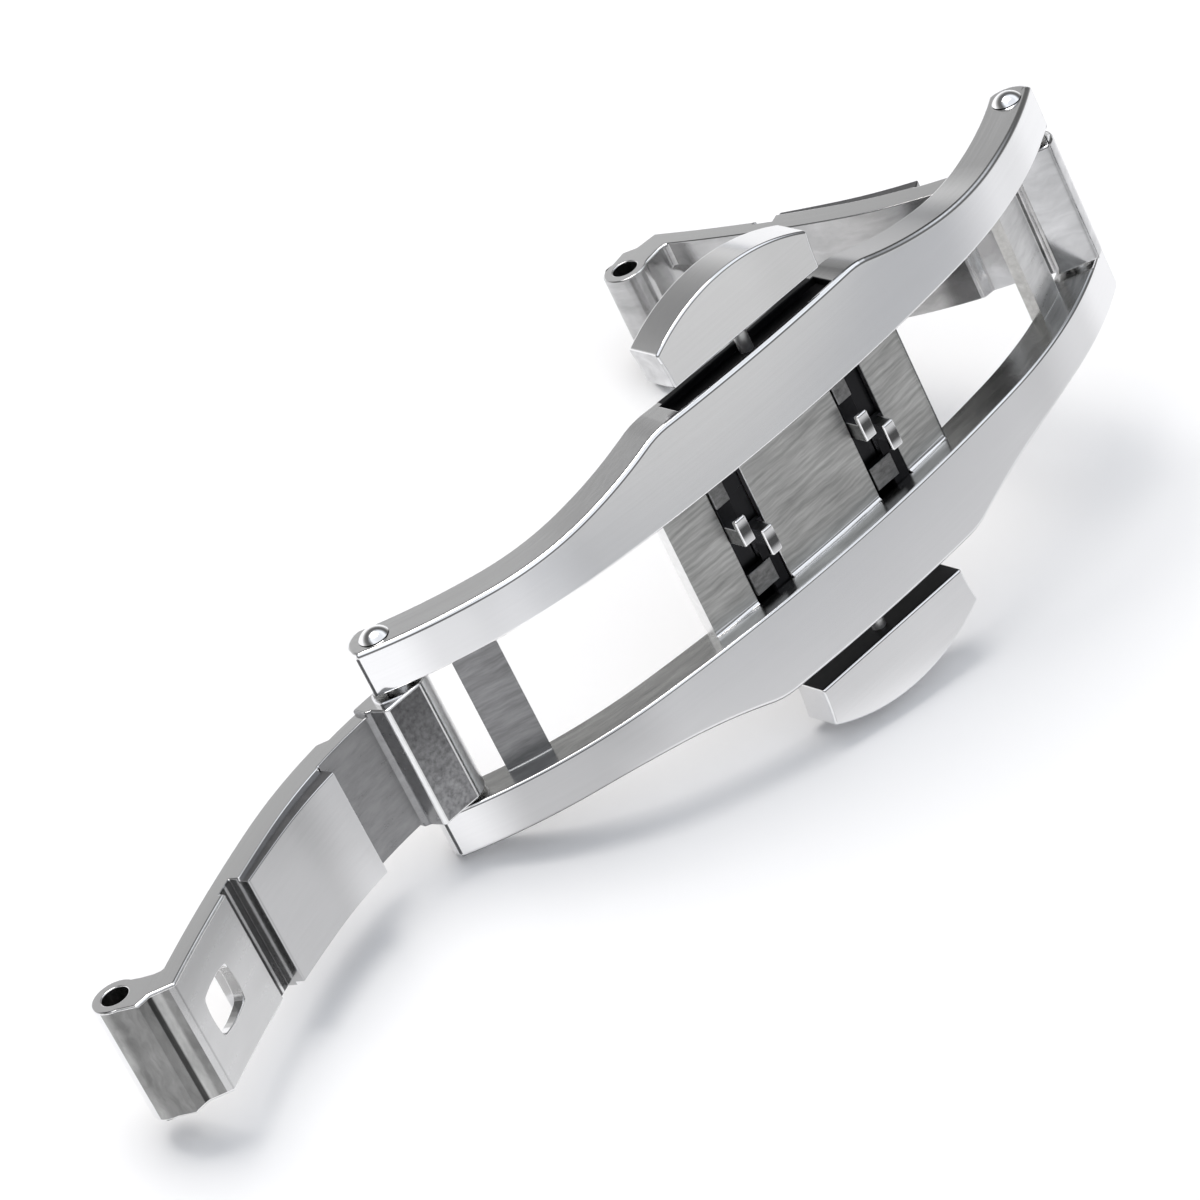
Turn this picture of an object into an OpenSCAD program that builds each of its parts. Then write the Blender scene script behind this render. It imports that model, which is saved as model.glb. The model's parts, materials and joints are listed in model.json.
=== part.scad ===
/* [Bow of the frame] */
// Distance between the two hinge pin axes
hinge_span = 36; // [33:0.5:39]
// Radius of the bow's middle arc, at mid thickness
bow_mid_r = 67; // [60:1:80]
// Half length of the middle arc, along X
bow_mid_half = 10; // [8.5:0.5:11]
// Radius of the two end arcs, at mid thickness
bow_end_r = 19; // [17.5:0.5:24]

/* [Rails] */
// Thickness of the rails
rail_t = 1.8; // [1.6:0.05:2.2]
// Clear width of the channel between the rails
channel_w = 6; // [5.7:0.1:6.6]
// Width of the frame at its hinge ends
end_w = 10.1; // [9.4:0.1:10.8]
// Width of the frame at the buttons
mid_w = 13.2; // [12.8:0.1:14]
// Half length of the straight edge behind each button
mid_half = 5; // [4.9:0.1:5.5]
// Radius of the convex corner beside the button
corner_r = 3.5; // [2.5:0.5:5]
// Radius of the hollow flare towards the hinge
flare_r = 22.2; // [18:0.2:26]
// Radius of the rail's end about each hinge pin
ear_r = 1.2; // [1.1:0.05:1.3]

/* [Crossbars and bridge] */
// From the hinge axis to the crossbar, along the bow
cross_from = 2.15; // [2.1:0.05:2.4]
// Length of the crossbar along the bow
cross_l = 1.95; // [1.5:0.05:2.2]
// Thickness of the crossbar
cross_t = 0.58; // [0.45:0.01:0.6]
// Half length of the bridge along the bow
bridge_half = 6.65; // [6.5:0.05:6.9]
// Thickness of the bridge
bridge_t = 0.74; // [0.65:0.01:0.78]
// Distance of each latch slot from the middle
slot_at = 3.47; // [3.4:0.01:3.55]
// Width of each latch slot
slot_w = 1.76; // [1.72:0.01:1.84]

/* [Hinges] */
// Diameter of the hinge pins
pin_d = 1.1; // [0.9:0.05:1.2]
// Diameter of the domed head on each end of a pin
head_d = 1.26; // [1.2:0.02:1.4]
// Height of that dome
pin_dome = 0.34; // [0.2:0.02:0.4]
// Radial clearance of an arm on its pin
pin_gap = 0.03; // [0.02:0.01:0.06]
// Angle of the right arm from closed, as it lies
right_open = 147.5; // [120:0.5:170]
// Angle of the left arm from closed, as it lies
left_open = 289.5; // [270:0.5:298]

/* [Arms] */
// Width of the arms
arm_w = 5.3; // [5.1:0.05:5.6]
// Width of the knuckle that turns on the pin
knuckle_w = 5.7; // [5.4:0.05:5.8]
// Width of the thick plate that drops into the frame's window
plate_w = 5; // [4.6:0.05:5.3]
// Radius of the knuckle round the pin
knuckle_r = 1.15; // [1.05:0.01:1.2]
// Near corner of the knuckle's flat inner face, before the hinge axis
knuckle_near = 0.4; // [0.3:0.02:0.5]
// Far corner of that face, past the hinge axis
knuckle_far = 1.6; // [1.5:0.02:1.66]
// Where the knuckle's slope meets the recess, past the hinge axis
knuckle_end = 2; // [1.9:0.02:2.1]
// Outer face of the knuckle, from mid thickness
knuckle_top = 0.82; // [0.78:0.01:0.95]
// From the hinge axis to the start of the plate
plate_from = 5; // [4.8:0.05:5.2]
// Length of the plate along the bow
plate_l = 6.5; // [6.2:0.05:6.7]
// Depth of the plate past mid thickness, near the hinge
plate_drop = 1; // [0.85:0.01:1.1]
// The same at the plate's far end
plate_drop_far = 0.63; // [0.5:0.01:0.8]
// Width of the groove beside the plate
groove_w = 0.8; // [0.6:0.05:1]
// Depth of the groove
groove_d = 0.2; // [0.1:0.02:0.3]
// Inner face of the arm's slim end, from mid thickness
slim_in = 0; // [-0.05:0.01:0.05]
// Inner face of the arm's recess, from mid thickness
recess_in = -0.2; // [-0.24:0.01:-0.1]
// Step down of the outer face beside the knuckle
root_step = 0.33; // [0.2:0.01:0.4]
// From the hinge axis to the end of that step
root_l = 3.5; // [3:0.1:4]
// Length of the slope after that step
root_slope = 0.35; // [0.2:0.01:0.5]

/* [Strap tubes] */
// From the hinge axis to the tube, along the bow
tube_at = 17.6; // [17.3:0.05:17.65]
// Height of the tube axis over mid thickness
tube_up = 2.5; // [2.3:0.05:2.8]
// Outer radius of the tube
tube_r = 0.98; // [0.9:0.01:1]
// Bore of the tube for the strap's bar
tube_bore = 1.1; // [0.9:0.05:1.2]
// Length of the tube
tube_l = 5.4; // [5:0.05:5.6]
// From the tube axis back to where the outer face starts to rise
curl_from = 1.35; // [1.25:0.01:1.45]
// From the tube axis back to the foot of the curl's steep part
curl_foot = 1.05; // [1:0.01:1.1]
// Height of that foot, and of the hollow's upper edge, over mid thickness
curl_z = 1.25; // [1.15:0.01:1.35]
// From the tube axis on to the hollow's lower edge
curl_hollow = 0.25; // [0.2:0.01:0.3]
// Height of the hollow's lower edge over mid thickness
curl_low = 0.94; // [0.9:0.01:1]
// From the tube axis back to the end of the slim inner face
slim_to = 0.2; // [0.15:0.01:0.25]

/* [Catch hole in the arms] */
// Length of the catch hole along the arm
hole_l = 2.3; // [2.2:0.05:2.4]
// Width of the catch hole across the arm
hole_w = 1.96; // [1.9:0.02:2.04]
// How far the sides of the hole bow out
hole_bow = 0.12; // [0.06:0.02:0.16]
// Thickness of the lip round the hole
lip_t = 0.42; // [0.35:0.01:0.44]
// Width of the pocket over the lip
pocket_w = 3; // [2.8:0.05:3.2]
// Length of the pocket over the lip
pocket_l = 2.4; // [2.35:0.05:2.6]

/* [Buttons] */
// Length of a button
button_l = 8.4; // [8:0.1:8.8]
// Depth of a button, from its inner edge to its crown
button_depth = 2.75; // [2.5:0.05:3]
// How far the crown stands over the button's corners
button_crown = 1.1; // [0.9:0.05:1.3]
// How much shorter the inner edge is, at each end
button_draft = 0.15; // [0.1:0.05:0.3]
// Thickness of a button
button_t = 1.8; // [1.6:0.05:2]
// How far the button's face lies under the rail's
button_under = 0.25; // [0.15:0.05:0.35]
// Travel of a button
travel = 0.75; // [0.7:0.01:0.78]
// Gap between a button and the frame past its travel
button_rest = 0.1; // [0.06:0.01:0.14]
// Diameter of the button's stem
stem_d = 0.6; // [0.5:0.02:0.62]
// Depth of the hollow in the flank behind a button
hollow_d = 0.3; // [0.2:0.02:0.4]
// Depth of the stem in the button
stem_in = 1.3; // [1:0.1:1.6]

/* [Latch sliders] */
// Thickness of the slider's bar
bar_t = 0.74; // [0.66:0.02:0.76]
// Depth of the bar, in the direction it slides
bar_w = 1; // [0.9:0.02:1.04]
// Half length of the bar
bar_half = 4.5; // [4.4:0.02:4.56]
// Thickness of the tongues
tongue_t = 0.3; // [0.24:0.02:0.32]
// Clearance of the sliders in the frame
slide_gap = 0.05; // [0.04:0.01:0.06]
// Width of a hook along the frame
hook_w = 0.58; // [0.5:0.02:0.62]
// Reach of a hook's lip from the middle of the clasp
hook_reach = 1.18; // [1.14:0.01:1.24]
// Depth of a hook, with its lip
hook_depth = 1.23; // [1.15:0.01:1.26]
// How far the lip stands past its post
hook_lip = 0.44; // [0.38:0.01:0.46]
// Height of the hook's top over the back plate's face
hook_top = 1.56; // [1.5:0.01:1.62]
// Thickness of the hook's lip
hook_lip_t = 0.27; // [0.22:0.01:0.28]
// Inner side of the front hooks, from the middle of their slot
front_hook_at = 0.25; // [0.08:0.01:0.25]
// Inner side of the rear hooks, from the middle of their slot
rear_hook_at = 0.08; // [0.08:0.01:0.25]

/* [Return springs] */
// Distance of each spring from the middle
spring_at = 1.6; // [1.4:0.1:1.8]
// Outer diameter of a spring
spring_d = 0.7; // [0.6:0.02:0.72]
// Diameter of its wire
wire_d = 0.13; // [0.1:0.01:0.15]
// Turns of a spring
turns = 7; // [5:1:8]
// Depth of a spring's seat in the frame
seat_frame = 0.35; // [0.3:0.01:0.38]
// Depth of a spring's seat in the slider
seat_bar = 0.5; // [0.4:0.02:0.56]

/* [Back plate] */
// Thickness of the back plate
back_t = 0.3; // [0.25:0.01:0.32]
// Half length of the back plate
back_half_l = 5.65; // [5.6:0.05:5.8]
// Half width of the back plate
back_half_w = 5.95; // [5.9:0.01:6]
// Diameter of the pins that hold it
rivet_d = 0.6; // [0.5:0.02:0.64]
// Length of those pins
rivet_l = 1; // [0.8:0.05:1.1]

/* [Hidden] */

$fn = 96;
steel = [0.75, 0.75, 0.76];
brushed = [0.55, 0.55, 0.56];
bright = [0.88, 0.88, 0.9];
dark = [0.4, 0.4, 0.42];

deg = 180 / PI;
half_t = rail_t / 2;
channel_half = channel_w / 2;
past = 5;          // reach of a cut past the solid it cuts

// The bow: two radii, tangent at mid_a, seen from the side as points [x, z]
mid_a = asin(bow_mid_half / bow_mid_r);
mid_s = bow_mid_r * mid_a / deg;
end_a = asin(sin(mid_a) + (hinge_span / 2 - bow_mid_half) / bow_end_r);
hinge_s = mid_s + bow_end_r * (end_a - mid_a) / deg;
rise = bow_mid_r * (1 - cos(mid_a)) + bow_end_r * (cos(mid_a) - cos(end_a));
hinge = [hinge_span / 2, half_t - rise];
mid_c = [0, half_t - bow_mid_r];
end_c = mid_c + (bow_mid_r - bow_end_r) * [sin(mid_a), cos(mid_a)];

// Angle of the bow at the length s from the middle
function bow_a(s) = s < mid_s ? s / bow_mid_r * deg : mid_a + (s - mid_s) / bow_end_r * deg;
// Point of the bow at the length s on its +X half, lifted off mid thickness
function bow_half(s, lift) = s < mid_s
    ? mid_c + (bow_mid_r + lift) * [sin(bow_a(s)), cos(bow_a(s))]
    : end_c + (bow_end_r + lift) * [sin(bow_a(s)), cos(bow_a(s))];
// The same on both halves, where s is negative towards -X
function bow(s, lift) = s < 0 ? [-bow_half(-s, lift).x, bow_half(-s, lift).y] : bow_half(s, lift);
// Points along the bow through corners given as [length, lift]
function trace(c) = [for (i = [0 : len(c) - 2])
    let (a = c[i], b = c[i + 1], n = max(1, ceil(abs(b.x - a.x) / 0.85)))
    for (k = [0 : n - 1]) bow(a.x + (b.x - a.x) * k / n, a.y + (b.y - a.y) * k / n)];
// The same as one closed outline
function closed_trace(c) = trace(concat(c, [c[0]]));
function backwards(l) = [for (i = [len(l) - 1 : -1 : 0]) l[i]];

// Middle of the two latch slots
slot_x = [-slot_at, slot_at];
slot_half = slot_w / 2;

// Heights inside the middle of the frame
pocket_top = back_t + bar_t + 2 * slide_gap;
hollow_top = rail_t - 0.3;
stem_z = back_t + slide_gap + bar_t / 2;

// Depths inside each side of the frame, measured from the middle along Y
flank = mid_w / 2;
pocket_out = flank - 0.7;
bar_out = pocket_out - slide_gap;
bar_in = bar_out - bar_w;
pocket_in = bar_in - travel - 0.55;
pocket_half = bar_half + 0.15;
button_in = flank + travel + button_rest;
button_z = rail_t - button_under;
seat_half = spring_d / 2 + slide_gap;
spring_len = bar_in + seat_bar - (pocket_in - seat_frame);
rivet_at = [back_half_l - 0.45, bar_in - 0.25];

module both_x() {
    children();
    mirror([1, 0, 0]) children();
}

module both_y() {
    children();
    mirror([0, 1, 0]) children();
}

// A side view extruded across the clasp, centred on it
module across(w) {
    rotate([90, 0, 0]) linear_extrude(w, center = true) children();
}

// A quarter of the frame's outline from above, with its flare
function plan_quarter() =
    let (a = acos(1 - (mid_w - end_w) / 2 / (corner_r + flare_r)),
        corner_c = [mid_half, flank - corner_r],
        flare_c = corner_c + (corner_r + flare_r) * [sin(a), cos(a)])
    concat([for (i = [0 : 6]) corner_c + corner_r * [sin(a * i / 6), cos(a * i / 6)]],
        [for (i = [11 : -1 : 0]) flare_c - flare_r * [sin(a * i / 12), cos(a * i / 12)]],
        [[hinge_span, end_w / 2]]);

module frame_plan() {
    q = plan_quarter();
    polygon(concat(q, [for (p = backwards(q)) [p.x, -p.y]], [for (p = q) [-p.x, -p.y]],
        [for (p = backwards(q)) [-p.x, p.y]]));
}

// Side view of a rail, with a round end about each hinge pin
module rail_side() {
    reach = sqrt(ear_r * ear_r - half_t * half_t);
    flat_a = acos(half_t / ear_r);
    ear = [for (i = [1 : 15])
        let (a = 90 - end_a - flat_a - i * (180 - 2 * flat_a) / 16)
        hinge + ear_r * [cos(a), sin(a)]];
    end = hinge_s + reach;
    polygon(concat(trace([[-end, half_t], [end, half_t], [end, half_t]]), ear,
        trace([[end, -half_t], [-end, -half_t], [-end, -half_t]]),
        [for (p = backwards(ear)) [-p.x, p.y]]));
}

// Side view of what is open between the rails: channel, windows and hinge gaps
module channel_side() {
    cross_out = hinge_s - cross_from;
    cross_in = cross_out - cross_l;
    far = hinge_s + 2 * ear_r;
    half = [[bridge_half, -half_t + bridge_t], [bridge_half, -past], [cross_in, -past],
        [cross_in, -half_t + cross_t], [cross_out, -half_t + cross_t], [cross_out, -past],
        [far, -past], [far, past]];
    polygon(closed_trace(concat(half, [for (c = backwards(half)) [-c.x, c.y]])));
}

module rail_blank() {
    difference() {
        intersection() {
            across(2 * flank + 2) rail_side();
            translate([0, 0, -hinge_span]) linear_extrude(2 * hinge_span) frame_plan();
        }
        across(channel_w) channel_side();
    }
}

// All that is cut into the middle from the back: sliders, tongues and their slots
module latch_cuts() {
    for (x = slot_x) translate([x - slot_half, -channel_half, -past])
        cube([slot_w, channel_w, 2 * past]);
    both_y() {
        translate([-pocket_half, pocket_in, -past])
            cube([2 * pocket_half, pocket_out - pocket_in, past + pocket_top]);
        for (x = slot_x) translate([x - slot_half, channel_half - 0.1, -past])
            cube([slot_w, pocket_in - channel_half + 0.2, past + back_t + tongue_t + 2 * slide_gap]);
        translate([-button_l / 2 - 0.1, flank - hollow_d, back_t])
            cube([button_l + 0.2, flank, hollow_top - back_t]);
        translate([0, flank, stem_z]) rotate([90, 0, 0])
            cylinder(d = stem_d + 2 * slide_gap, h = flank - pocket_out + 0.1);
        both_x() translate([spring_at - seat_half, pocket_in - seat_frame, -past])
            cube([2 * seat_half, seat_frame + 0.1, past + pocket_top]);
    }
}

module frame() {
    color(steel) difference() {
        rail_blank();
        latch_cuts();
        translate([-back_half_l, -back_half_w, -past])
            cube([2 * back_half_l, 2 * back_half_w, past + back_t]);
        both_x() {
            translate([hinge.x, 0, hinge.y]) rotate([90, 0, 0])
                cylinder(d = pin_d, h = end_w + 2, center = true);
            both_y() translate([rivet_at.x, rivet_at.y, back_t - 0.1])
                cylinder(d = rivet_d, h = rivet_l - back_t + 0.1);
        }
    }
}

// Flat plate that closes the latch from the back, let into the frame
module back_plate() {
    fit = 0.02;
    color(steel) difference() {
        translate([-back_half_l + fit, -back_half_w + fit, 0])
            cube([2 * (back_half_l - fit), 2 * (back_half_w - fit), back_t]);
        both_x() both_y() translate([rivet_at.x, rivet_at.y, -1]) cylinder(d = rivet_d, h = 2);
    }
}

// Pin that holds a corner of the back plate, pressed in flush
module plate_pin(x, y) {
    color(bright) translate([x * rivet_at.x, y * rivet_at.y, 0]) cylinder(d = rivet_d, h = rivet_l);
}

module pin_front_right() plate_pin(1, -1);
module pin_front_left() plate_pin(-1, -1);
module pin_rear_right() plate_pin(1, 1);
module pin_rear_left() plate_pin(-1, 1);

// Pin with a domed head at each end, held in the ears
module hinge_pin(side) {
    head_r = head_d / 2;
    dome_r = (head_r * head_r + pin_dome * pin_dome) / (2 * pin_dome);
    color(bright) translate([side * hinge.x, 0, hinge.y]) {
        rotate([90, 0, 0]) cylinder(d = pin_d, h = end_w, center = true);
        both_y() translate([0, end_w / 2, 0]) rotate([-90, 0, 0]) rotate_extrude() intersection() {
            translate([0, pin_dome - dome_r]) circle(dome_r);
            square([head_r, pin_dome]);
        }
    }
}

module right_hinge_pin() hinge_pin(1);

module left_hinge_pin() hinge_pin(-1);

// Length along the bow of a place on a closed arm, from its hinge
function arm_s(p) = hinge_s - p;

// Side view of a closed arm through corners given as [length from its hinge, lift]
module arm_side() {
    plate_to = plate_from + plate_l;
    slim_from = plate_to + groove_w;
    tip = tube_at + tube_r;
    knuckle_slope = (knuckle_far + knuckle_end) / 2;
    root_to = root_l + root_slope;
    corners = [[0, half_t - root_step], [root_l, half_t - root_step], [root_to, half_t],
        [tube_at - curl_from, half_t], [tube_at - curl_foot, curl_z],
        [tube_at - 0.97 * tube_r, 0.7 * tube_up], [tube_at - 0.85 * tube_r, 0.96 * tube_up],
        [tube_at, tube_up], [tip - 0.12 * tube_r, 0.88 * tube_up], [tip - 0.2 * tube_r, curl_z],
        [tube_at + curl_hollow, curl_low], [tube_at - slim_to, slim_in], [slim_from, slim_in],
        [slim_from, slim_in + groove_d], [plate_to, slim_in + groove_d],
        [plate_to, -plate_drop_far], [plate_from, -plate_drop], [plate_from, recess_in],
        [knuckle_end, recess_in], [knuckle_slope, -knuckle_r / 3], [knuckle_far, -knuckle_r],
        [-knuckle_near, -knuckle_r]];
    polygon(closed_trace([for (c = corners) [hinge_s - c.x, c.y]]));
}

// Side view of a stretch of an arm between two lengths from its hinge, under a lift
module arm_stretch(p_from, p_to, top) {
    s_from = hinge_s - p_to;
    s_to = hinge_s - p_from;
    polygon(closed_trace([[s_from, -past], [s_to, -past], [s_to, top], [s_from, top]]));
}

// Side view of the knuckle: round about the pin, flat on its outer side
module knuckle_side() {
    intersection() {
        translate(hinge) circle(knuckle_r);
        translate(hinge) rotate(-end_a) translate([-past, -past]) square([2 * past, past + knuckle_top]);
    }
}

// Both sides outside a width, with the side view of what is trimmed there
module trim(w) {
    both_y() translate([0, w / 2 + past, 0]) across(2 * past) children();
}

module bowed_hole() {
    side_x = (hole_w / 2 * hole_w / 2 + hole_bow * hole_bow) / (2 * hole_bow);
    side_y = (hole_l / 2 * hole_l / 2 + hole_bow * hole_bow) / (2 * hole_bow);
    intersection() {
        translate([hole_l / 2 - side_x, 0]) circle(side_x, $fn = 180);
        translate([side_x - hole_l / 2, 0]) circle(side_x, $fn = 180);
        translate([0, hole_w / 2 - side_y]) circle(side_y, $fn = 180);
        translate([0, side_y - hole_w / 2]) circle(side_y, $fn = 180);
    }
}

// An arm lying closed over the frame's +X half
module closed_arm() {
    tube_c = bow(hinge_s - tube_at, tube_up);
    lip_z = half_t + slim_in + lip_t - slot_at * slot_at / (2 * bow_mid_r);
    difference() {
        union() {
            difference() {
                union() {
                    across(knuckle_w) arm_side();
                    across(knuckle_w) knuckle_side();
                }
                trim(arm_w) arm_stretch(knuckle_end, hinge_s + hinge_span / 30, past);
                trim(plate_w) arm_stretch(plate_from - 0.1, plate_from + plate_l + 0.1, recess_in - 0.05);
            }
            translate([tube_c.x, 0, tube_c.y]) rotate([90, 0, 0])
                cylinder(r = tube_r, h = tube_l, center = true);
        }
        translate([hinge.x, 0, hinge.y]) rotate([90, 0, 0])
            cylinder(d = pin_d + 2 * pin_gap, h = knuckle_w + 2, center = true);
        translate([tube_c.x, 0, tube_c.y]) rotate([90, 0, 0])
            cylinder(d = tube_bore, h = tube_l + 2, center = true);
        translate([slot_at, 0, -past]) linear_extrude(2 * past) bowed_hole();
        translate([slot_at - pocket_l / 2, -pocket_w / 2, lip_z])
            cube([pocket_l, pocket_w, 1]);
    }
}

module opened(angle) {
    translate([hinge.x, 0, hinge.y]) rotate([0, angle, 0]) translate([-hinge.x, 0, -hinge.y]) children();
}

module right_arm() {
    color(steel) opened(right_open) closed_arm();
}

module left_arm() {
    color(steel) rotate([0, 0, 180]) opened(left_open) closed_arm();
}

// Outline of a button from above, for the rear side
module button_plan() {
    chord = button_l / 2;
    crown_r = (chord * chord + button_crown * button_crown) / (2 * button_crown);
    intersection() {
        translate([0, button_in + button_depth - crown_r]) circle(crown_r, $fn = 360);
        polygon([[-chord + button_draft, button_in], [chord - button_draft, button_in],
            [chord, button_in + button_depth - button_crown], [chord, button_in + 2 * button_depth],
            [-chord, button_in + 2 * button_depth], [-chord, button_in + button_depth - button_crown]]);
    }
}

module button() {
    color(steel) difference() {
        translate([0, 0, button_z - button_t]) linear_extrude(button_t) button_plan();
        translate([0, button_in + stem_in, stem_z]) rotate([90, 0, 0])
            cylinder(d = stem_d, h = stem_in + 1);
    }
}

module stem() {
    color(bright) translate([0, button_in + stem_in, stem_z]) rotate([90, 0, 0])
        cylinder(d = stem_d, h = button_in + stem_in - bar_in);
}

// A box from its least corner to its greatest
module span(lo, hi) {
    translate(lo) cube(hi - lo);
}

// A tongue along its slot with its block and hook; the tongue lies on the slot's -X side
module tongue(x, hook_at, block_from, block_to) {
    low = back_t + slide_gap;
    tongue_lo = -slot_half + slide_gap;
    hook_lo = -hook_at - hook_w;
    hook_in = hook_reach - hook_depth;
    translate([x, 0, 0]) {
        span([tongue_lo, hook_in, low], [-0.08, bar_in + 0.2, low + tongue_t]);
        span([hook_lo, hook_in, low], [-hook_at, hook_reach - hook_lip, hook_top]);
        difference() {
            span([hook_lo, hook_in, hook_top - hook_lip_t], [-hook_at, hook_reach, hook_top]);
            span([hook_lo + 0.15, hook_in + 0.35, hook_top - 0.12],
                [-hook_at - 0.15, hook_reach - 0.2, hook_top + 1]);
        }
        span([block_from, hook_reach + 0.42, low], [block_to, channel_half - 0.35, bridge_t]);
    }
}

// Slider of the rear button: a bar behind the rail wall and two tongues with hooks
module slider(hook_at, block_from, block_to) {
    color(bright) difference() {
        union() {
            span([-bar_half, bar_in, back_t + slide_gap], [bar_half, bar_out, back_t + slide_gap + bar_t]);
            for (x = slot_x) tongue(x, hook_at, block_from, block_to);
        }
        translate([0, bar_out + 1, stem_z]) rotate([90, 0, 0]) cylinder(d = stem_d, h = bar_w + 2);
        both_x() translate([spring_at - seat_half, bar_in - 1, 0])
            cube([2 * seat_half, seat_bar + 1, 2 * bar_t + 1]);
    }
}

// A coil spring along +Y from the origin, swept along its helix
module coil(len) {
    sides = 6;
    steps = 12;
    coil_r = (spring_d - wire_d) / 2;
    rings = turns * steps;
    pitch = (len - wire_d) / rings;
    points = [for (i = [0 : rings], k = [0 : sides - 1])
        let (t = i * 360 / steps, u = k * 360 / sides, r = coil_r + wire_d / 2 * cos(u))
        [r * cos(t), wire_d / 2 + i * pitch + wire_d / 2 * sin(u), r * sin(t)]];
    skin = [for (i = [0 : rings - 1], k = [0 : sides - 1], half = [0, 1])
        let (a = i * sides + k, b = i * sides + (k + 1) % sides)
        half == 0 ? [a, b, b + sides] : [a, b + sides, a + sides]];
    first = [for (k = [1 : sides - 2]) [0, k + 1, k]];
    last = [for (k = [1 : sides - 2]) [rings * sides, rings * sides + k, rings * sides + k + 1]];
    polyhedron(points, concat(skin, first, last));
}

module spring(x) {
    slack = 0.02;
    color(dark) translate([x, pocket_in - seat_frame + slack, stem_z]) coil(spring_len - 2 * slack);
}

// The rear side's pieces, turned half round for the front side
module front_side() {
    rotate([0, 0, 180]) children();
}

module rear_button() button();
module front_button() front_side() button();
module rear_stem() stem();
module front_stem() front_side() stem();
module rear_slider() slider(rear_hook_at, -0.37, slot_half - slide_gap);
module front_slider() front_side() slider(front_hook_at, -slot_half + slide_gap, -0.08);
module rear_spring_right() spring(spring_at);
module rear_spring_left() spring(-spring_at);
module front_spring_right() front_side() spring(-spring_at);
module front_spring_left() front_side() spring(spring_at);

frame();
back_plate();
pin_front_right();
pin_front_left();
pin_rear_right();
pin_rear_left();
right_hinge_pin();
left_hinge_pin();
right_arm();
left_arm();
front_button();
rear_button();
front_stem();
rear_stem();
front_slider();
rear_slider();
front_spring_right();
front_spring_left();
rear_spring_right();
rear_spring_left();
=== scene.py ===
# %% [markdown]
# # A butterfly clasp in polished steel
#
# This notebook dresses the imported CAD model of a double-fold watch clasp. The model gives every
# size and every joint; here the pieces that catch the eye are made again with the small bevels,
# fine curves and brushed faces of the real thing, and then lit on a white table.
#
# The clasp's frame is a bow. Its cross-sections are simple, but they follow a curve, so each
# bowed piece is built flat, as if the bow were straightened out, and is bent at the end. On a
# flat piece a boolean cut and a bevel are exact and easy. Bending moves only points.

# %% Start: load the fixed frame
import bpy
import bmesh
import json
import math
from mathutils import Matrix, Vector

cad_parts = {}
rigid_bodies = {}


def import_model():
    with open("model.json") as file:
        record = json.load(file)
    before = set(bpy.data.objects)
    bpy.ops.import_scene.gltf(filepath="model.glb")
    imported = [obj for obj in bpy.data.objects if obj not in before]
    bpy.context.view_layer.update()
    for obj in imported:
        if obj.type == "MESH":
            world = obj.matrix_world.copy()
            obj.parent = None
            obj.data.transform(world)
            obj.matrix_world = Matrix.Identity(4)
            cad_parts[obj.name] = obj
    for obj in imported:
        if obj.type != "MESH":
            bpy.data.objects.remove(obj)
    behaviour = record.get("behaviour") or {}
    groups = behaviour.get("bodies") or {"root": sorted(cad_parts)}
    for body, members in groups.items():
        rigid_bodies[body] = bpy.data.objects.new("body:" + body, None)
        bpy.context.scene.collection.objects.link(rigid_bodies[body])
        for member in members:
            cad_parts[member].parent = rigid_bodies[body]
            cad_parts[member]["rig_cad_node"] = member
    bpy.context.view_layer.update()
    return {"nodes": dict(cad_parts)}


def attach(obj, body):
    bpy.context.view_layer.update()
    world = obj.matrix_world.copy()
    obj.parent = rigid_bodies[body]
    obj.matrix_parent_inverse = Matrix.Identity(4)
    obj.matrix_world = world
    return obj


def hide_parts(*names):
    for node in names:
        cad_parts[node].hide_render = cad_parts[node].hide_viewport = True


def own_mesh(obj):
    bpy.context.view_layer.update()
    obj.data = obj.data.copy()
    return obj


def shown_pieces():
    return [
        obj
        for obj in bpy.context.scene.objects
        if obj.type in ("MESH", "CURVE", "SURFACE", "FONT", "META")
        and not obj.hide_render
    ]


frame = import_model()
print("nodes:", len(frame["nodes"]))

# %% [markdown]
# ## The camera
#
# The photograph was taken with a long lens from the front and a little to one side, with the
# clasp lying askew, so the picture is rolled. The place and the three directions below come from
# a fit of the hinge pins, the rails and both arms to the photograph. Setting the matrix from its
# directions is safer than angles here, because a rolled camera is hard to say in angles.

# %% Camera at the photograph's place
MM = 0.001
camera_data = bpy.data.cameras.new("camera")
camera_data.sensor_width = 36.0
camera_data.lens = 178.5
camera_data.clip_start = 0.01
camera_data.clip_end = 10.0
camera = bpy.data.objects.new("camera", camera_data)
bpy.context.scene.collection.objects.link(camera)

looks_along = Vector((-0.3966, 0.4854, -0.7792)).normalized()
picture_up = Vector((-0.5992, -0.7799, -0.1809))
picture_up = (picture_up - looks_along * picture_up.dot(looks_along)).normalized()
picture_right = looks_along.cross(picture_up)
camera_at = Vector((100.93, -112.56, 178.2)) * MM
camera.matrix_world = Matrix((
    (picture_right.x, picture_up.x, -looks_along.x, camera_at.x),
    (picture_right.y, picture_up.y, -looks_along.y, camera_at.y),
    (picture_right.z, picture_up.z, -looks_along.z, camera_at.z),
    (0, 0, 0, 1)))
bpy.context.scene.camera = camera
print("camera at", tuple(round(v, 4) for v in camera_at))

# %% [markdown]
# ## The bow
#
# Seen from the side the frame is a shallow arc in the middle and a tighter arc towards each
# hinge. A point on it is named by its length along the bow from the middle and its lift off mid
# thickness. The helper turns such a pair into a place, and a second one goes back, which lets a
# true circle, such as a pin's bore, be drawn on the straightened piece so that it bends back to
# a true circle.

# %% The bow's two arcs
HINGE_X = 18.0
MID_R, END_R = 67.0, 19.0
MID_HALF = 10.0
HALF_T = 0.9

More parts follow.
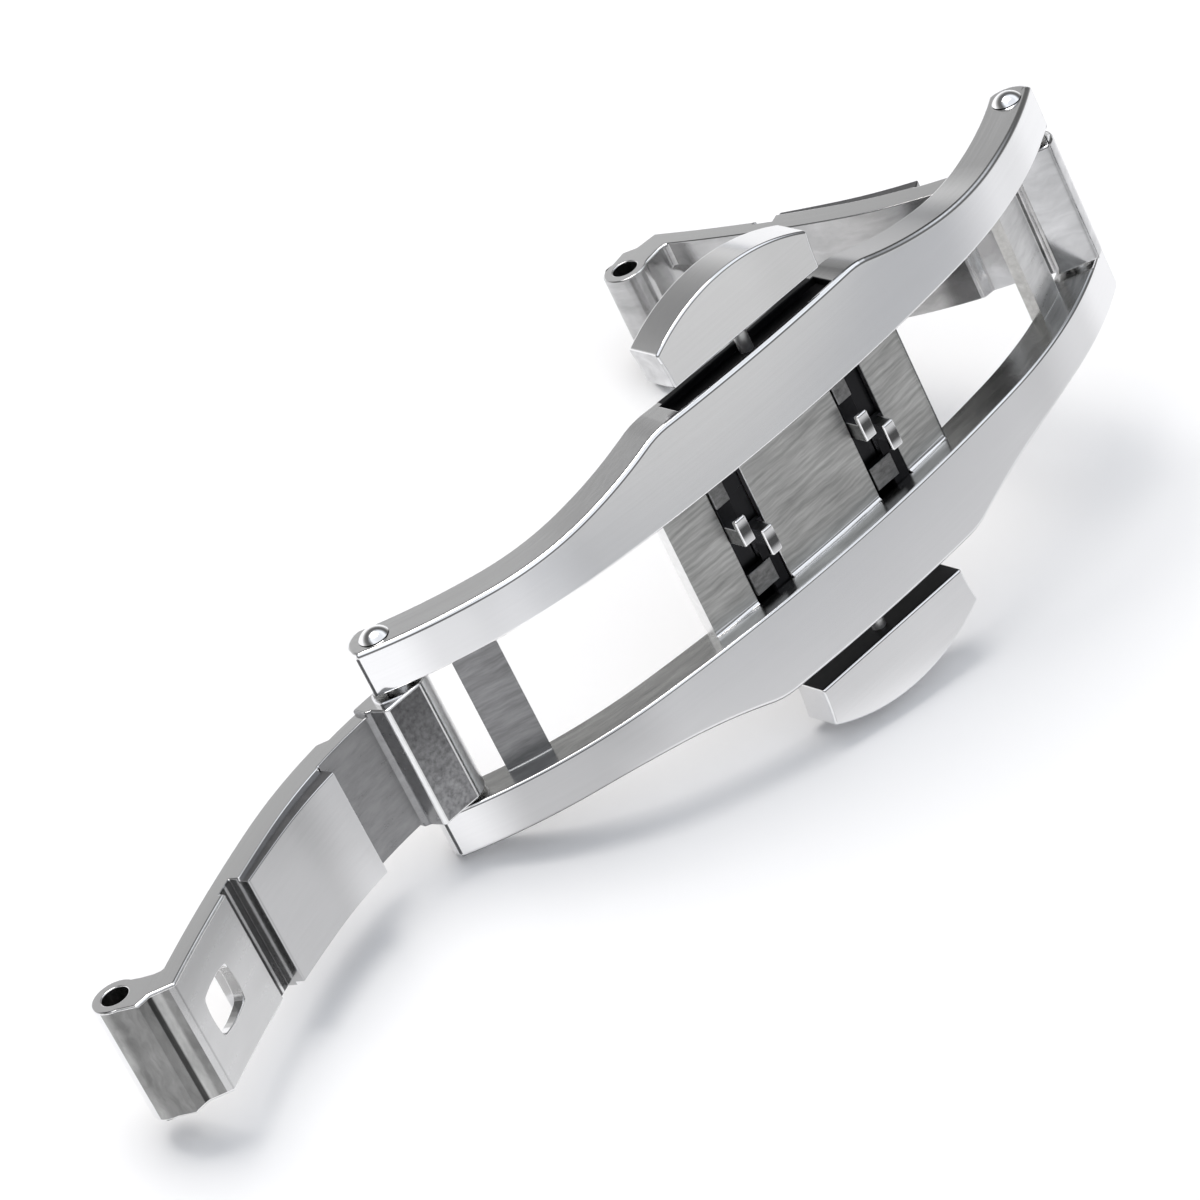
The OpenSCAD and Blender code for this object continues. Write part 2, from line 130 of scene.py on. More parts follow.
mid_angle = math.asin(MID_HALF / MID_R)
mid_length = MID_R * mid_angle
end_angle = math.asin(math.sin(mid_angle) + (HINGE_X - MID_HALF) / END_R)
HINGE_S = mid_length + END_R * (end_angle - mid_angle)
HINGE_Z = HALF_T - MID_R * (1 - math.cos(mid_angle)) - END_R * (math.cos(mid_angle) - math.cos(end_angle))
mid_centre = (0.0, HALF_T - MID_R)
end_centre = ((MID_R - END_R) * math.sin(mid_angle), HALF_T - MID_R + (MID_R - END_R) * math.cos(mid_angle))


def bow(length, lift):
    """The place (x, z) of a point on the bow."""
    if length < 0:
        x, z = bow(-length, lift)
        return -x, z
    if length < mid_length:
        angle = length / MID_R
        return (MID_R + lift) * math.sin(angle), mid_centre[1] + (MID_R + lift) * math.cos(angle)
    angle = mid_angle + (length - mid_length) / END_R
    radius = END_R + lift
    return end_centre[0] + radius * math.sin(angle), end_centre[1] + radius * math.cos(angle)


def bow_angle(length):
    """How far the bow has turned at a length from its middle."""
    size = abs(length)
    angle = size / MID_R if size < mid_length else mid_angle + (size - mid_length) / END_R
    return math.copysign(angle, length)


def unbow(x, z):
    """The length and lift of the place (x, z)."""
    if x < 0:
        length, lift = unbow(-x, z)
        return -length, lift
    across, up = x - end_centre[0], z - end_centre[1]
    angle = math.atan2(across, up)
    if angle > mid_angle:
        return mid_length + (angle - mid_angle) * END_R, math.hypot(across, up) - END_R
    angle = math.atan2(x, z - mid_centre[1])
    return angle * MID_R, math.hypot(x, z - mid_centre[1]) - MID_R


print("bow from hinge to hinge:", round(2 * HINGE_S, 2), "mm, hinge height", round(HINGE_Z, 3))

# %% [markdown]
# ## Flat stock
#
# Everything is cut from plates: an outline pushed through a thickness. An outline seen from the
# side is pushed across the clasp, an outline seen from above is pushed through its height. The
# outlines are plain lists of points, and a helper closes them into a solid.

# %% Plates from outlines
def linked(name, mesh):
    """A new object of the scene."""
    thing = bpy.data.objects.new(name, mesh)
    bpy.context.scene.collection.objects.link(thing)
    return thing


def edit(mesh, change):
    """Opens a mesh, changes it and writes it back."""
    work = bmesh.new()
    work.from_mesh(mesh)
    change(work)
    work.to_mesh(mesh)
    work.free()


def closed(name, points, faces):
    """A new mesh object whose faces all look outwards."""
    mesh = bpy.data.meshes.new(name)
    mesh.from_pydata(points, [], faces)
    edit(mesh, lambda work: bmesh.ops.recalc_face_normals(work, faces=work.faces))
    return linked(name, mesh)


def solid(low, high, name):
    """A solid between two equal outlines given as 3D points."""
    count = len(low)
    faces = [list(range(count)), [count + i for i in range(count)]]
    faces += [[i, (i + 1) % count, count + (i + 1) % count, count + i] for i in range(count)]
    return closed(name, low + high, faces)


def side_strip(outline, y_low, y_high, name="side_strip"):
    """An outline of (length, lift) pushed across the clasp between two depths."""
    return solid(*([(s, y, o) for s, o in outline] for y in (y_low, y_high)), name)


def side_plate(outline, half_width, name="side_plate"):
    """The same, as far to either side of the middle."""
    return side_strip(outline, -half_width, half_width, name)


def top_plate(outline, low, high, name="top_plate"):
    """An outline seen from above pushed through a height."""
    return solid(*([(x, y, z) for x, y in outline] for z in (low, high)), name)


def block(low, high, name="block"):
    """A plain block between two corners."""
    (a, b, c), (d, e, f) = low, high
    return top_plate([(a, b), (d, b), (d, e), (a, e)], c, f, name)


def arc(cx, cz, radius, turns):
    """Places on an arc of the bent piece, drawn on the straightened one."""
    return [unbow(cx + radius * math.cos(turn), cz + radius * math.sin(turn)) for turn in turns]


def circle(cx, cz, radius, count=64):
    """A true circle of the bent piece."""
    return arc(cx, cz, radius, [2 * math.pi * (i + 0.5) / count for i in range(count)])


def square_window(x_low, x_high, z_low, z_high, steps=12):
    """A level window of the bent piece, drawn on the straightened one."""
    xs = [x_low + (x_high - x_low) * i / steps for i in range(steps + 1)]
    return [unbow(x, z_low) for x in xs] + [unbow(x, z_high) for x in reversed(xs)]


print("flat stock ready")

# %% [markdown]
# ## Cutting, bevelling and bending
#
# The cuts are boolean modifiers with the exact solver, applied one after another. Real edges are
# never sharp: a fine bevel along each edge is what gives polished steel its bright outline. The
# bevel's width is written on each edge as a weight, so that an outer edge can be broader than an
# inner one. Last, the piece is sliced crosswise every fraction of a millimetre and its points are
# moved onto the bow. The flat place of each point is kept as an attribute, so that brush lines
# can follow the piece round its curve.

# %% Boolean, bevel and bend
# The width that a full weight stands for, the rows of a bevel, the least angle that gets one,
# and the distance between two slices
BEVEL_FULL, BEVEL_ROWS, BEVEL_FROM = 0.4, 3, 25
SLICE = 0.3


def evaluated(thing, name):
    """The object's mesh with its modifiers applied, in place of the object."""
    graph = bpy.context.evaluated_depsgraph_get()
    graph.update()
    mesh = bpy.data.meshes.new_from_object(thing.evaluated_get(graph))
    thing.modifiers.clear()
    old = thing.data
    thing.data = mesh
    bpy.data.meshes.remove(old)
    mesh.name = name
    thing.name = name
    return thing


def boolean(thing, tool, operation):
    """Cuts, joins or intersects with a tool, which is used up."""
    step = thing.modifiers.new("cut", "BOOLEAN")
    step.operation = operation
    step.object = tool
    step.solver = "EXACT"
    evaluated(thing, thing.name)
    bpy.data.objects.remove(tool)
    return thing


def cut(thing, *tools):
    for tool in tools:
        boolean(thing, tool, "DIFFERENCE")
    return thing


def join(thing, *tools):
    for tool in tools:
        boolean(thing, tool, "UNION")
    return thing


def bevel(thing, width_at):
    """Bevels each sharp edge by the width that width_at gives for its middle, in mm."""
    def weigh(work):
        bmesh.ops.remove_doubles(work, verts=work.verts, dist=1e-4)
        bmesh.ops.dissolve_limit(work, angle_limit=math.radians(0.1), verts=work.verts, edges=work.edges)
        layers = work.edges.layers.float
        weight = layers.get("bevel_weight_edge") or layers.new("bevel_weight_edge")
        for edge in work.edges:
            edge[weight] = 0.0
            if len(edge.link_faces) == 2 and edge.calc_face_angle(0) > math.radians(BEVEL_FROM):
                start, end = (corner.co for corner in edge.verts)
                width = width_at((start + end) / 2, (end - start).normalized(), edge.is_convex)
                edge[weight] = min(1.0, width / BEVEL_FULL)
        print(thing.name, "edges bevelled:", sum(edge[weight] > 0 for edge in work.edges))

    edit(thing.data, weigh)
    step = thing.modifiers.new("bevel", "BEVEL")
    step.limit_method = "WEIGHT"
    step.width = BEVEL_FULL
    step.segments = BEVEL_ROWS
    step.profile = 0.5
    step.use_clamp_overlap = False
    step.miter_outer = "MITER_SHARP"
    return evaluated(thing, thing.name)


def smooth(thing, sharp=35):
    """Smooth shading that keeps flat faces flat and corners crisp."""
    thing.data.shade_smooth()
    thing.data.set_sharp_from_angle(angle=math.radians(sharp))
    step = thing.modifiers.new("normals", "WEIGHTED_NORMAL")
    step.keep_sharp = True
    step.weight = 80
    return evaluated(thing, thing.name)


def slice_across(thing):
    """Slices a flat piece crosswise at even lengths, so that it can be bent."""
    def slices(work):
        lengths = [v.co.x for v in work.verts]
        at = SLICE * math.ceil(min(lengths) / SLICE)
        while at < max(lengths):
            bmesh.ops.bisect_plane(work, geom=work.verts[:] + work.edges[:] + work.faces[:], dist=1e-4,
                                   plane_co=(at, 0, 0), plane_no=(1, 0, 0))
            at += SLICE
        bmesh.ops.remove_doubles(work, verts=work.verts, dist=1e-5)

    edit(thing.data, slices)


def place_points(thing, move, turn):
    """Moves a flat piece's points, in mm, and turns its shading normals with them.

    The normals are worked out while the piece is flat, where they are exact, and each is
    then turned by the bow's own angle at its corner. Shading that is worked out on the bent
    strips would show every slice in the mirror of the steel.
    """
    mesh = thing.data
    flat_places = [v.co.copy() for v in mesh.vertices]
    corner_normals = [n.vector.copy() for n in mesh.corner_normals]
    corner_points = [loop.vertex_index for loop in mesh.loops]
    kept = mesh.attributes.new("flat", "FLOAT_VECTOR", "POINT")
    for index, at in enumerate(flat_places):
        kept.data[index].vector = at
        mesh.vertices[index].co = move(at)
    turned = [turn(flat_places[point], normal).normalized()
              for point, normal in zip(corner_points, corner_normals)]
    mesh.normals_split_custom_set(turned)
    return thing


def bend(thing, place=Matrix.Identity(4)):
    """Bends a flat piece onto the bow and puts it in its place, in metres."""
    slice_across(thing)
    smooth(thing)
    spin = place.to_3x3()

    def move(at):
        x, z = bow(at.x, at.z)
        return place @ (Vector((x, at.y, z)) * MM)

    def turn(at, normal):
        angle = bow_angle(at.x)
        c, s = math.cos(angle), math.sin(angle)
        return spin @ Vector((normal.x * c + normal.z * s, normal.y, normal.z * c - normal.x * s))

    return place_points(thing, move, turn)


def set_level(thing, side):
    """Puts a piece that isn't bent on the rear side, or turned half round on the front side."""
    smooth(thing)
    return place_points(thing, lambda at: Vector((side * at.x, side * at.y, at.z)) * MM,
                        lambda at, normal: Vector((side * normal.x, side * normal.y, normal.z)))


def solid_check(thing):
    """Prints whether a piece is closed."""
    work = bmesh.new()
    work.from_mesh(thing.data)
    loose = sum(1 for e in work.edges if len(e.link_faces) != 2)
    volume = round(work.calc_volume() * 1e9, 2)
    print(thing.name, "faces", len(work.faces), "open edges", loose, "volume mm3", volume)
    work.free()


print("tools ready")

# %% [markdown]
# ## The frame
#
# The frame is one bowed piece: two polished rails that flare out beside the buttons, a crossbar
# near each hinge, and a thin bridge in the middle with two slots for the latch. The rails' side
# view and the frame's top view are crossed to give the blank, and the channel, the slots, the
# hollows behind the buttons and the seat of the back plate are cut from it.

# %% Sizes of the frame
CHANNEL = 3.0
END_HALF, MID_WIDE = 5.05, 6.6
FLAT_HALF, CORNER_R, FLARE_R = 5.0, 3.5, 22.2
EAR_R, PIN_BORE = 1.2, 0.56
CROSS_FROM, CROSS_LONG, CROSS_T = 2.15, 1.95, 0.58
BRIDGE_HALF, BRIDGE_T = 6.65, 0.74
BRIDGE_TOP, CROSS_TOP = BRIDGE_T - HALF_T, CROSS_T - HALF_T
SLOT_AT, SLOT_HALF, SLOT_REACH, SLOT_TOP = 3.47, 0.88, 3.6, -0.11
# The hollow behind a button, the pocket of a slider and the seat of the back plate, each as
# how far across it goes and as a window seen from the side: x from and to, z from and to
HOLLOW, HOLLOW_VIEW = (6.3, 9.0), (-4.3, 4.3, 0.3, 1.5)
POCKET, POCKET_VIEW = (3.55, 5.9), (-4.65, 4.65, -1.5, 1.14)
SEAT_HALF, SEAT_VIEW = 5.95, (-5.65, 5.65, -1.5, 0.3)


def rail_outline():
    """Side view of a rail with a round end about each hinge pin."""
    end = HINGE_S + math.sqrt(EAR_R ** 2 - HALF_T ** 2)
    slant = math.acos(HALF_T / EAR_R)
    turns = [math.pi / 2 - end_angle - slant - (math.pi - 2 * slant) * i / 30 for i in range(1, 30)]
    right = [(end, HALF_T)] + arc(HINGE_X, HINGE_Z, EAR_R, turns) + [(end, -HALF_T)]
    return right + [(-s, o) for s, o in reversed(right)]


def plan_outline():
    """Top view of the frame, with its lengths laid along the bow."""
    turn = math.acos(1 - (MID_WIDE - END_HALF) / (CORNER_R + FLARE_R))
    x0, y0 = FLAT_HALF, MID_WIDE - CORNER_R
    x1, y1 = x0 + (CORNER_R + FLARE_R) * math.sin(turn), y0 + (CORNER_R + FLARE_R) * math.cos(turn)
    corner, flare = ([turn * i / count for i in range(count + 1)] for count in (60, 200))
    quarter = [(x0 + CORNER_R * math.sin(a), y0 + CORNER_R * math.cos(a)) for a in corner]
    quarter += [(x1 - FLARE_R * math.sin(a), y1 - FLARE_R * math.cos(a)) for a in reversed(flare[:-1])]
    quarter = [(unbow(x, z_on_bow(x))[0], y) for x, y in quarter]
    even = [quarter[0]]
    for (s0, y0), (s1, y1) in zip(quarter, quarter[1:]):
        at = SLICE * math.ceil(s0 / SLICE + 1e-6)
        if at < s1:
            even.append((at, y0 + (y1 - y0) * (at - s0) / (s1 - s0)))
    quarter = even + [quarter[-1], (24.0, END_HALF)]
    half = quarter + [(s, -y) for s, y in reversed(quarter)]
    return half + [(-s, -y) for s, y in half]


def z_on_bow(x):
    """Height of mid thickness over the place x."""
    if x < MID_HALF:
        return mid_centre[1] + math.sqrt(MID_R ** 2 - x ** 2)
    return end_centre[1] + math.sqrt(END_R ** 2 - (x - end_centre[0]) ** 2)


def channel_outline():
    """Side view of what is open between the rails."""
    outer = HINGE_S - CROSS_FROM
    inner = outer - CROSS_LONG
    half = [(BRIDGE_HALF, BRIDGE_TOP), (BRIDGE_HALF, -4), (inner, -4), (inner, CROSS_TOP),
            (outer, CROSS_TOP), (outer, -4), (24.5, -4), (24.5, 4)]
    return half + [(-s, o) for s, o in reversed(half)]


print("frame outlines:", len(rail_outline()), "and", len(plan_outline()), "points")

# %% The frame's blank and its cuts
clasp_frame = side_plate(rail_outline(), 8.0, "clasp_frame")
boolean(clasp_frame, top_plate(plan_outline(), -3, 3), "INTERSECT")
cut(clasp_frame, side_plate(channel_outline(), CHANNEL))
for side in (-1, 1):
    slot = [side * SLOT_AT - SLOT_HALF, side * SLOT_AT + SLOT_HALF]
    cut(clasp_frame, block((slot[0], -SLOT_REACH, -3), (slot[1], SLOT_REACH, SLOT_TOP)))
    for depths, view in ((HOLLOW, HOLLOW_VIEW), (POCKET, POCKET_VIEW)):
        cut(clasp_frame, side_strip(square_window(*view), *sorted(side * y for y in depths)))
    cut(clasp_frame, side_plate(circle(side * HINGE_X, HINGE_Z, PIN_BORE, 48), 9.0))
cut(clasp_frame, side_plate(square_window(*SEAT_VIEW), SEAT_HALF))
print("frame faces before bevelling:", len(clasp_frame.data.polygons))

# %% Bevels and bend of the frame
BROAD, CREST, SOFT, THIN, FINE = 0.2, 0.13, 0.1, 0.07, 0.05


def frame_bevel(middle, along, convex):
    """Broad on the rails' outer edges, finer on the inner ones, none where parts hide it."""
    across, past_pin = abs(middle.y), abs(middle.x) - HINGE_S
    on_face = abs(middle.z) > HALF_T - 0.01
    at_end = past_pin > 0.7
    if on_face and at_end and abs(along.y) > 0.9:
        return THIN
    if not convex:
        bridge_foot = abs(middle.x) < BRIDGE_HALF and abs(middle.z - BRIDGE_TOP) < 0.02
        cross_foot = abs(middle.x) > BRIDGE_HALF + 1 and abs(middle.z - CROSS_TOP) < 0.02
        if abs(across - CHANNEL) < 0.01 and abs(along.x) > 0.9:
            return BROAD if bridge_foot else 0.09 if cross_foot else 0.0
        return 0.0
    if past_pin > -EAR_R - 0.1 and not on_face:
        ear_edge = abs(along.y) < 0.5 and at_end
        return (BROAD if across > CHANNEL + 1 else SOFT) if ear_edge else 0.0
    if on_face and abs(along.y) < 0.9:
        outer = across > CHANNEL + 0.02
        return (BROAD if outer else CREST) if middle.z > 0 else SOFT
    hidden = 0.05 < across < SEAT_HALF - 0.02 and middle.z < -0.2 and abs(middle.x) < 5.8
    return 0.0 if hidden else FINE


bevel(clasp_frame, frame_bevel)
bend(clasp_frame)
solid_check(clasp_frame)
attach(clasp_frame, "clasp_frame")
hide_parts("frame")

# %% [markdown]
# ## The arms
#
# Both arms are the same piece. Each starts at a knuckle round the hinge pin, carries a thick
# plate that drops into the frame's window when the clasp is shut, then a groove, and ends in a
# slim tongue with a catch hole and a rolled tube for the strap's bar. An arm is drawn as it lies
# shut on the bow, bent with it, and then swung open about its hinge by the angle that the
# photograph shows.

# %% Sizes and side view of an arm
ARM_HALF, KNUCKLE_HALF, PLATE_HALF = 2.65, 2.85, 2.5
PLATE_FROM, PLATE_LONG, GROOVE_WIDE = 5.0, 6.5, 0.8
PLATE_TO = PLATE_FROM + PLATE_LONG
PLATE_ROOM = PLATE_FROM - 0.1, PLATE_TO + 0.1
SLIM_FROM = PLATE_TO + GROOVE_WIDE
TUBE_AT, TUBE_UP, TUBE_R, TUBE_BORE = 17.6, 2.5, 0.98, 0.55
LIP_Z = 0.9 + 0.42 - SLOT_AT ** 2 / (2 * MID_R)
KNUCKLE_R, KNUCKLE_TOP, ARM_PIN_BORE = 1.15, 0.82, 0.58
HOLE_FROM, HOLE_TO = 13.9, 16.6


def arm_outline():
    """Side view of a shut arm, from its knuckle to its tube and back."""
    neck = [(-1.35, 0.9), (-1.16, 1.02), (-1.04, 1.27), (-0.95, 1.75), (-0.833, 2.4), (0, TUBE_UP),
            (0.86, 2.2), (0.78, 1.25), (0.25, 0.94), (-0.2, 0.0)]
    corners = [(0, 0.57), (3.5, 0.57), (3.85, 0.9)] + [(TUBE_AT + p, o) for p, o in neck]
    corners += [(SLIM_FROM, 0.0), (SLIM_FROM, 0.2), (PLATE_TO, 0.2), (PLATE_TO, -0.63), (PLATE_FROM, -1.0),
                (PLATE_FROM, -0.2), (2.0, -0.2), (1.8, -0.38), (1.6, -1.15), (-0.4, -1.15)]
    return [(HINGE_S - p, o) for p, o in corners]


def knuckle_outline(count=60):
    """Side view of the knuckle, round about the pin and flat on its outer side."""
    flat = math.asin(KNUCKLE_TOP / KNUCKLE_R)
    turns = [flat - end_angle - (math.pi + 2 * flat) * i / count for i in range(count + 1)]
    return arc(HINGE_X, HINGE_Z, KNUCKLE_R, turns)


def catch_hole(long=2.3, wide=1.96, bulge=0.12, steps=10):
    """Outline of the catch hole, whose four sides are bowed a little."""
    a, b = long / 2, wide / 2
    corners = [(i * (a - bulge), j * (b - bulge)) for i, j in ((-1, -1), (1, -1), (1, 1), (-1, 1))]
    points = []
    for (x0, y0), (x1, y1) in zip(corners, corners[1:] + corners[:1]):
        for i in range(steps):
            t = i / steps
            out = 4 * bulge * t * (1 - t)
            nx, ny = (y1 - y0), -(x1 - x0)
            size = math.hypot(nx, ny)
            points.append((x0 + (x1 - x0) * t + nx / size * out, y0 + (y1 - y0) * t + ny / size * out))
    return [(SLOT_AT + x, y) for x, y in points]


print("arm outline:", len(arm_outline()), "corners")

# %% Blank and bevels of an arm
def arm_bevel(middle, along, convex):
    """Fine all over, and broader on the knuckle, the slim end and the catch hole's corners."""
    p = HINGE_S - middle.x
    from_tube = math.hypot(p - TUBE_AT, middle.z - TUBE_UP)
    if from_tube < TUBE_BORE + 0.1:
        return FINE if convex else 0.0
    if abs(along.z) > 0.9 and abs(middle.y) < 1.2 and HOLE_FROM < p < HOLE_TO:
        return 0.22
    if abs(middle.y) < 1.6 and HOLE_FROM - 0.3 < p < HOLE_TO + 0.1 and abs(along.z) < 0.5:
        return 0.04 if convex else 0.0
    if abs(p) < 0.9 and abs(middle.z) < 0.75:
        return 0.0
    if not convex:
        return 0.06 if abs(along.y) > 0.9 and from_tube > TUBE_R + 0.1 else 0.0
    if from_tube < TUBE_R + 0.12:
        return THIN
    if p < 2.2:
        return 0.17 if middle.z < -1.1 and abs(along.y) > 0.9 else SOFT
    if p > SLIM_FROM and abs(along.y) < 0.9:
        return CREST
    return 0.08 if abs(along.y) > 0.9 and PLATE_ROOM[0] < p < PLATE_ROOM[1] else 0.06


def make_arm(name, body, node, swing, turned):
    """An arm bent on the bow, swung open and put on its side of the clasp."""
    arm = side_plate(arm_outline(), KNUCKLE_HALF, name)
    join(arm, side_plate(knuckle_outline(), KNUCKLE_HALF))
    for side in (-1, 1):
        for p_from, p_to, half, up in ((2.0, HINGE_S + 2.0, ARM_HALF, 6), (*PLATE_ROOM, PLATE_HALF, -0.25)):
            low, high = sorted((side * half, side * 5.0))
            cut(arm, block((HINGE_S - p_to, low, -4), (HINGE_S - p_from, high, up)))
    tube_place = bow(HINGE_S - TUBE_AT, TUBE_UP)
    join(arm, side_plate(circle(*tube_place, TUBE_R, 72), ARM_HALF))
    cut(arm, side_plate(circle(*tube_place, TUBE_BORE, 48), 5.0))
    cut(arm, side_plate(circle(HINGE_X, HINGE_Z, ARM_PIN_BORE, 48), 5.0))
    cut(arm, top_plate([(unbow(x, 1.2)[0], y) for x, y in catch_hole()], -2, 2.5))
    cut(arm, side_plate(square_window(SLOT_AT - 1.2, SLOT_AT + 1.2, LIP_Z, LIP_Z + 1.2, 6), 1.5))
    bevel(arm, arm_bevel)
    hinge_place = Matrix.Translation((HINGE_X * MM, 0, HINGE_Z * MM))
    opened = hinge_place @ Matrix.Rotation(math.radians(swing), 4, "Y") @ hinge_place.inverted()
    bend(arm, Matrix.Rotation(math.radians(turned), 4, "Z") @ opened)
    solid_check(arm)
    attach(arm, body)
    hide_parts(node)
    return arm


print("catch hole from", round(HOLE_FROM, 2), "to", round(HOLE_TO, 2), "mm past the pin")

# %% Both arms
opened_arm = make_arm("opened_arm", "right_fold", "right_arm", 147.5, 0)
swung_arm = make_arm("swung_arm", "left_fold", "left_arm", 289.5, 180)

# %% [markdown]
# ## The push buttons
#
# Each button is a solid little crescent of polished steel. Its crown is an arc, its inner edge is
# straight and a shade shorter, and its ends are very slightly hollow. It is flat, so it needs no
# bending, only a bevel all round, which catches the light as a white line.

# %% Buttons
BUTTON_HALF, BUTTON_IN, BUTTON_DEPTH, CROWN = 4.2, 7.45, 2.75, 1.1
BUTTON_TOP, BUTTON_T, BUTTON_RIM = 1.55, 1.8, 0.12
# How far a button's ends slant outwards and how hollow they are
BUTTON_SLANT, BUTTON_HOLLOW = 0.15, 0.16


def button_outline():
    """Top view of the rear button."""
    radius = (BUTTON_HALF ** 2 + CROWN ** 2) / (2 * CROWN)
    centre_y = BUTTON_IN + BUTTON_DEPTH - radius
    reach = math.asin(BUTTON_HALF / radius)
    turns = [reach * i / 30 for i in range(30, -31, -1)]
    crown = [(radius * math.sin(a), centre_y + radius * math.cos(a)) for a in turns]
    (x0, y0), (x1, y1) = (BUTTON_HALF - BUTTON_SLANT, BUTTON_IN), crown[0]
    shares = [i / 8 for i in range(1, 8)]
    end = [(x0 + (x1 - x0) * t - BUTTON_HOLLOW * t * (1 - t), y0 + (y1 - y0) * t) for t in shares]
    return [(-x0, y0), (x0, y0)] + end + crown + [(-x, y) for x, y in reversed(end)]


def make_button(name, body, node, side):
    button = top_plate(button_outline(), BUTTON_TOP - BUTTON_T, BUTTON_TOP, name)
    bevel(button, lambda middle, along, convex: BUTTON_RIM if abs(along.z) < 0.5 else SOFT)
    set_level(button, side)
    solid_check(button)
    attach(button, body)
    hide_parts(node)
    return button


rear_cap = make_button("rear_cap", "rear_latch", "rear_button", 1)
front_cap = make_button("front_cap", "front_latch", "front_button", -1)

# %% [markdown]
# ## Pins and stems
#
# Hinge pins and button stems are turned parts, so their half profile is spun round an axis. The
# profile gets its small radius at the rim of the dome, which is where a real pin glints.

# %% Turned parts
def turned_part(name, profile, axis_at, along, count=64):
    """A profile of (distance along Y, radius) spun round an axis parallel to Y."""
    x0, z0 = axis_at
    turns = [2 * math.pi * k / count for k in range(count)]
    points = [((x0 + r * math.cos(turn)) * MM, along * y * MM, (z0 + r * math.sin(turn)) * MM)
              for y, r in profile for turn in turns]
    faces = []
    for i in range(len(profile) - 1):
        for k in range(count):
            a, b = i * count + k, i * count + (k + 1) % count
            faces.append((a, b, b + count, a + count))
    faces.append(tuple(range(count)))
    faces.append(tuple((len(profile) - 1) * count + k for k in range(count)))
    return smooth(closed(name, points, faces), 50)


def dome(y_base, height, radius, steps=10):
    """Half profile of a domed end."""
    ball = (radius ** 2 + height ** 2) / (2 * height)
    reach = math.asin(radius / ball)
    return [(y_base + ball * math.cos(a) - (ball - height), ball * math.sin(a))
            for a in (reach * (1 - i / steps) for i in range(steps))] + [(y_base + height, 0.01)]


PIN_NECK = 5.05
pin_end = [(PIN_NECK, 0.56), (PIN_NECK + 0.015, 0.6)] + dome(PIN_NECK + 0.03, 0.33, 0.63)
pin_profile = [(-y, r) for y, r in reversed(pin_end)] + pin_end
hinge_pins = []
for way, x in (("right", HINGE_X), ("left", -HINGE_X)):
    pin = turned_part(f"hinge_pin_{way}", pin_profile, (x, HINGE_Z), 1)
    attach(pin, "clasp_frame")
    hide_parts(f"{way}_hinge_pin")
    hinge_pins.append(pin)
    solid_check(pin)

# %% Stems
STEM_Z = 0.72
stem_profile = [(4.86, 0.25), (4.9, 0.3), (8.7, 0.3), (8.74, 0.25)]
for place, side in (("rear", 1), ("front", -1)):
    stem = turned_part(f"stem_{place}", stem_profile, (0, STEM_Z), side, 48)
    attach(stem, f"{place}_latch")
    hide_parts(f"{place}_stem")
    solid_check(stem)

# %% [markdown]
# ## Latch sliders
#
# In each slot two bright hooks stand up, one from each button. A hook is a small post with a lip
# that reaches over the edge of the arm's catch hole, and a flat tongue joins it to the slider's
# bar inside the rail. The hooks are the liveliest spot of the clasp, so their edges get a bevel
# that is broad for their size.

# %% Sliders
BAR_LOW, BAR_T, BAR_HALF = 0.35, 0.74, 4.5
BAR_IN, BAR_OUT = 4.85, 5.85
HOOK_WIDE, HOOK_REACH, HOOK_DEEP, HOOK_LIP = 0.58, 1.18, 1.23, 0.44
HOOK_TOP, LIP_THICK = 1.56, 0.27
TONGUE_FROM, TONGUE_TO, TONGUE_T = 0.83, 0.08, 0.3
SPRING_AT, SPRING_ROOM = 1.6, 0.4


def make_slider(name, body, node, side, hook_at, block_from, block_to):
    piece = block((-BAR_HALF, BAR_IN, BAR_LOW), (BAR_HALF, BAR_OUT, BAR_LOW + BAR_T), name)
    hook_in = HOOK_REACH - HOOK_DEEP
    for x in (-SLOT_AT, SLOT_AT):
        left, right = x - hook_at - HOOK_WIDE, x - hook_at
        tongue = (x - TONGUE_FROM, hook_in, BAR_LOW), (x - TONGUE_TO, BAR_IN + 0.2, BAR_LOW + TONGUE_T)
        post = (left, hook_in, BAR_LOW + 0.1), (right, HOOK_REACH - HOOK_LIP, HOOK_TOP - 0.1)
        lip = (left, hook_in, HOOK_TOP - LIP_THICK), (right, HOOK_REACH, HOOK_TOP)
        foot = (x + block_from, HOOK_REACH + 0.42, BAR_LOW), (x + block_to, CHANNEL - 0.35, BRIDGE_T)
        join(piece, *(block(*corners) for corners in (tongue, post, lip, foot)))
    for x in (-SPRING_AT, SPRING_AT):
        cut(piece, block((x - SPRING_ROOM, BAR_IN - 1, 0), (x + SPRING_ROOM, BAR_IN + 0.5, 3)))

    def hook_edge(x):
        sides = [at - hook_at - k * HOOK_WIDE for at in (-SLOT_AT, SLOT_AT) for k in (0, 1)]
        return any(abs(x - at) < 0.02 for at in sides)

    def slider_bevel(middle, along, convex):
        if not convex:
            return 0.0
        if middle.z > 1.0 and abs(middle.y) < 2:
            rim = min(abs(middle.y - hook_in), abs(middle.y - HOOK_REACH)) < 0.02
            return 0.1 if rim or abs(along.y) > 0.9 and hook_edge(middle.x) else 0.03
        return 0.06 if middle.y > HOOK_REACH and middle.z > 0.7 else 0.03

    bevel(piece, slider_bevel)
    set_level(piece, side)
    solid_check(piece)
    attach(piece, body)
    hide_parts(node)
    return piece


latch_rear = make_slider("latch_rear", "rear_latch", "rear_slider", 1, 0.08, -0.37, 0.83)
latch_front = make_slider("latch_front", "front_latch", "front_slider", -1, 0.25, -0.83, -0.08)

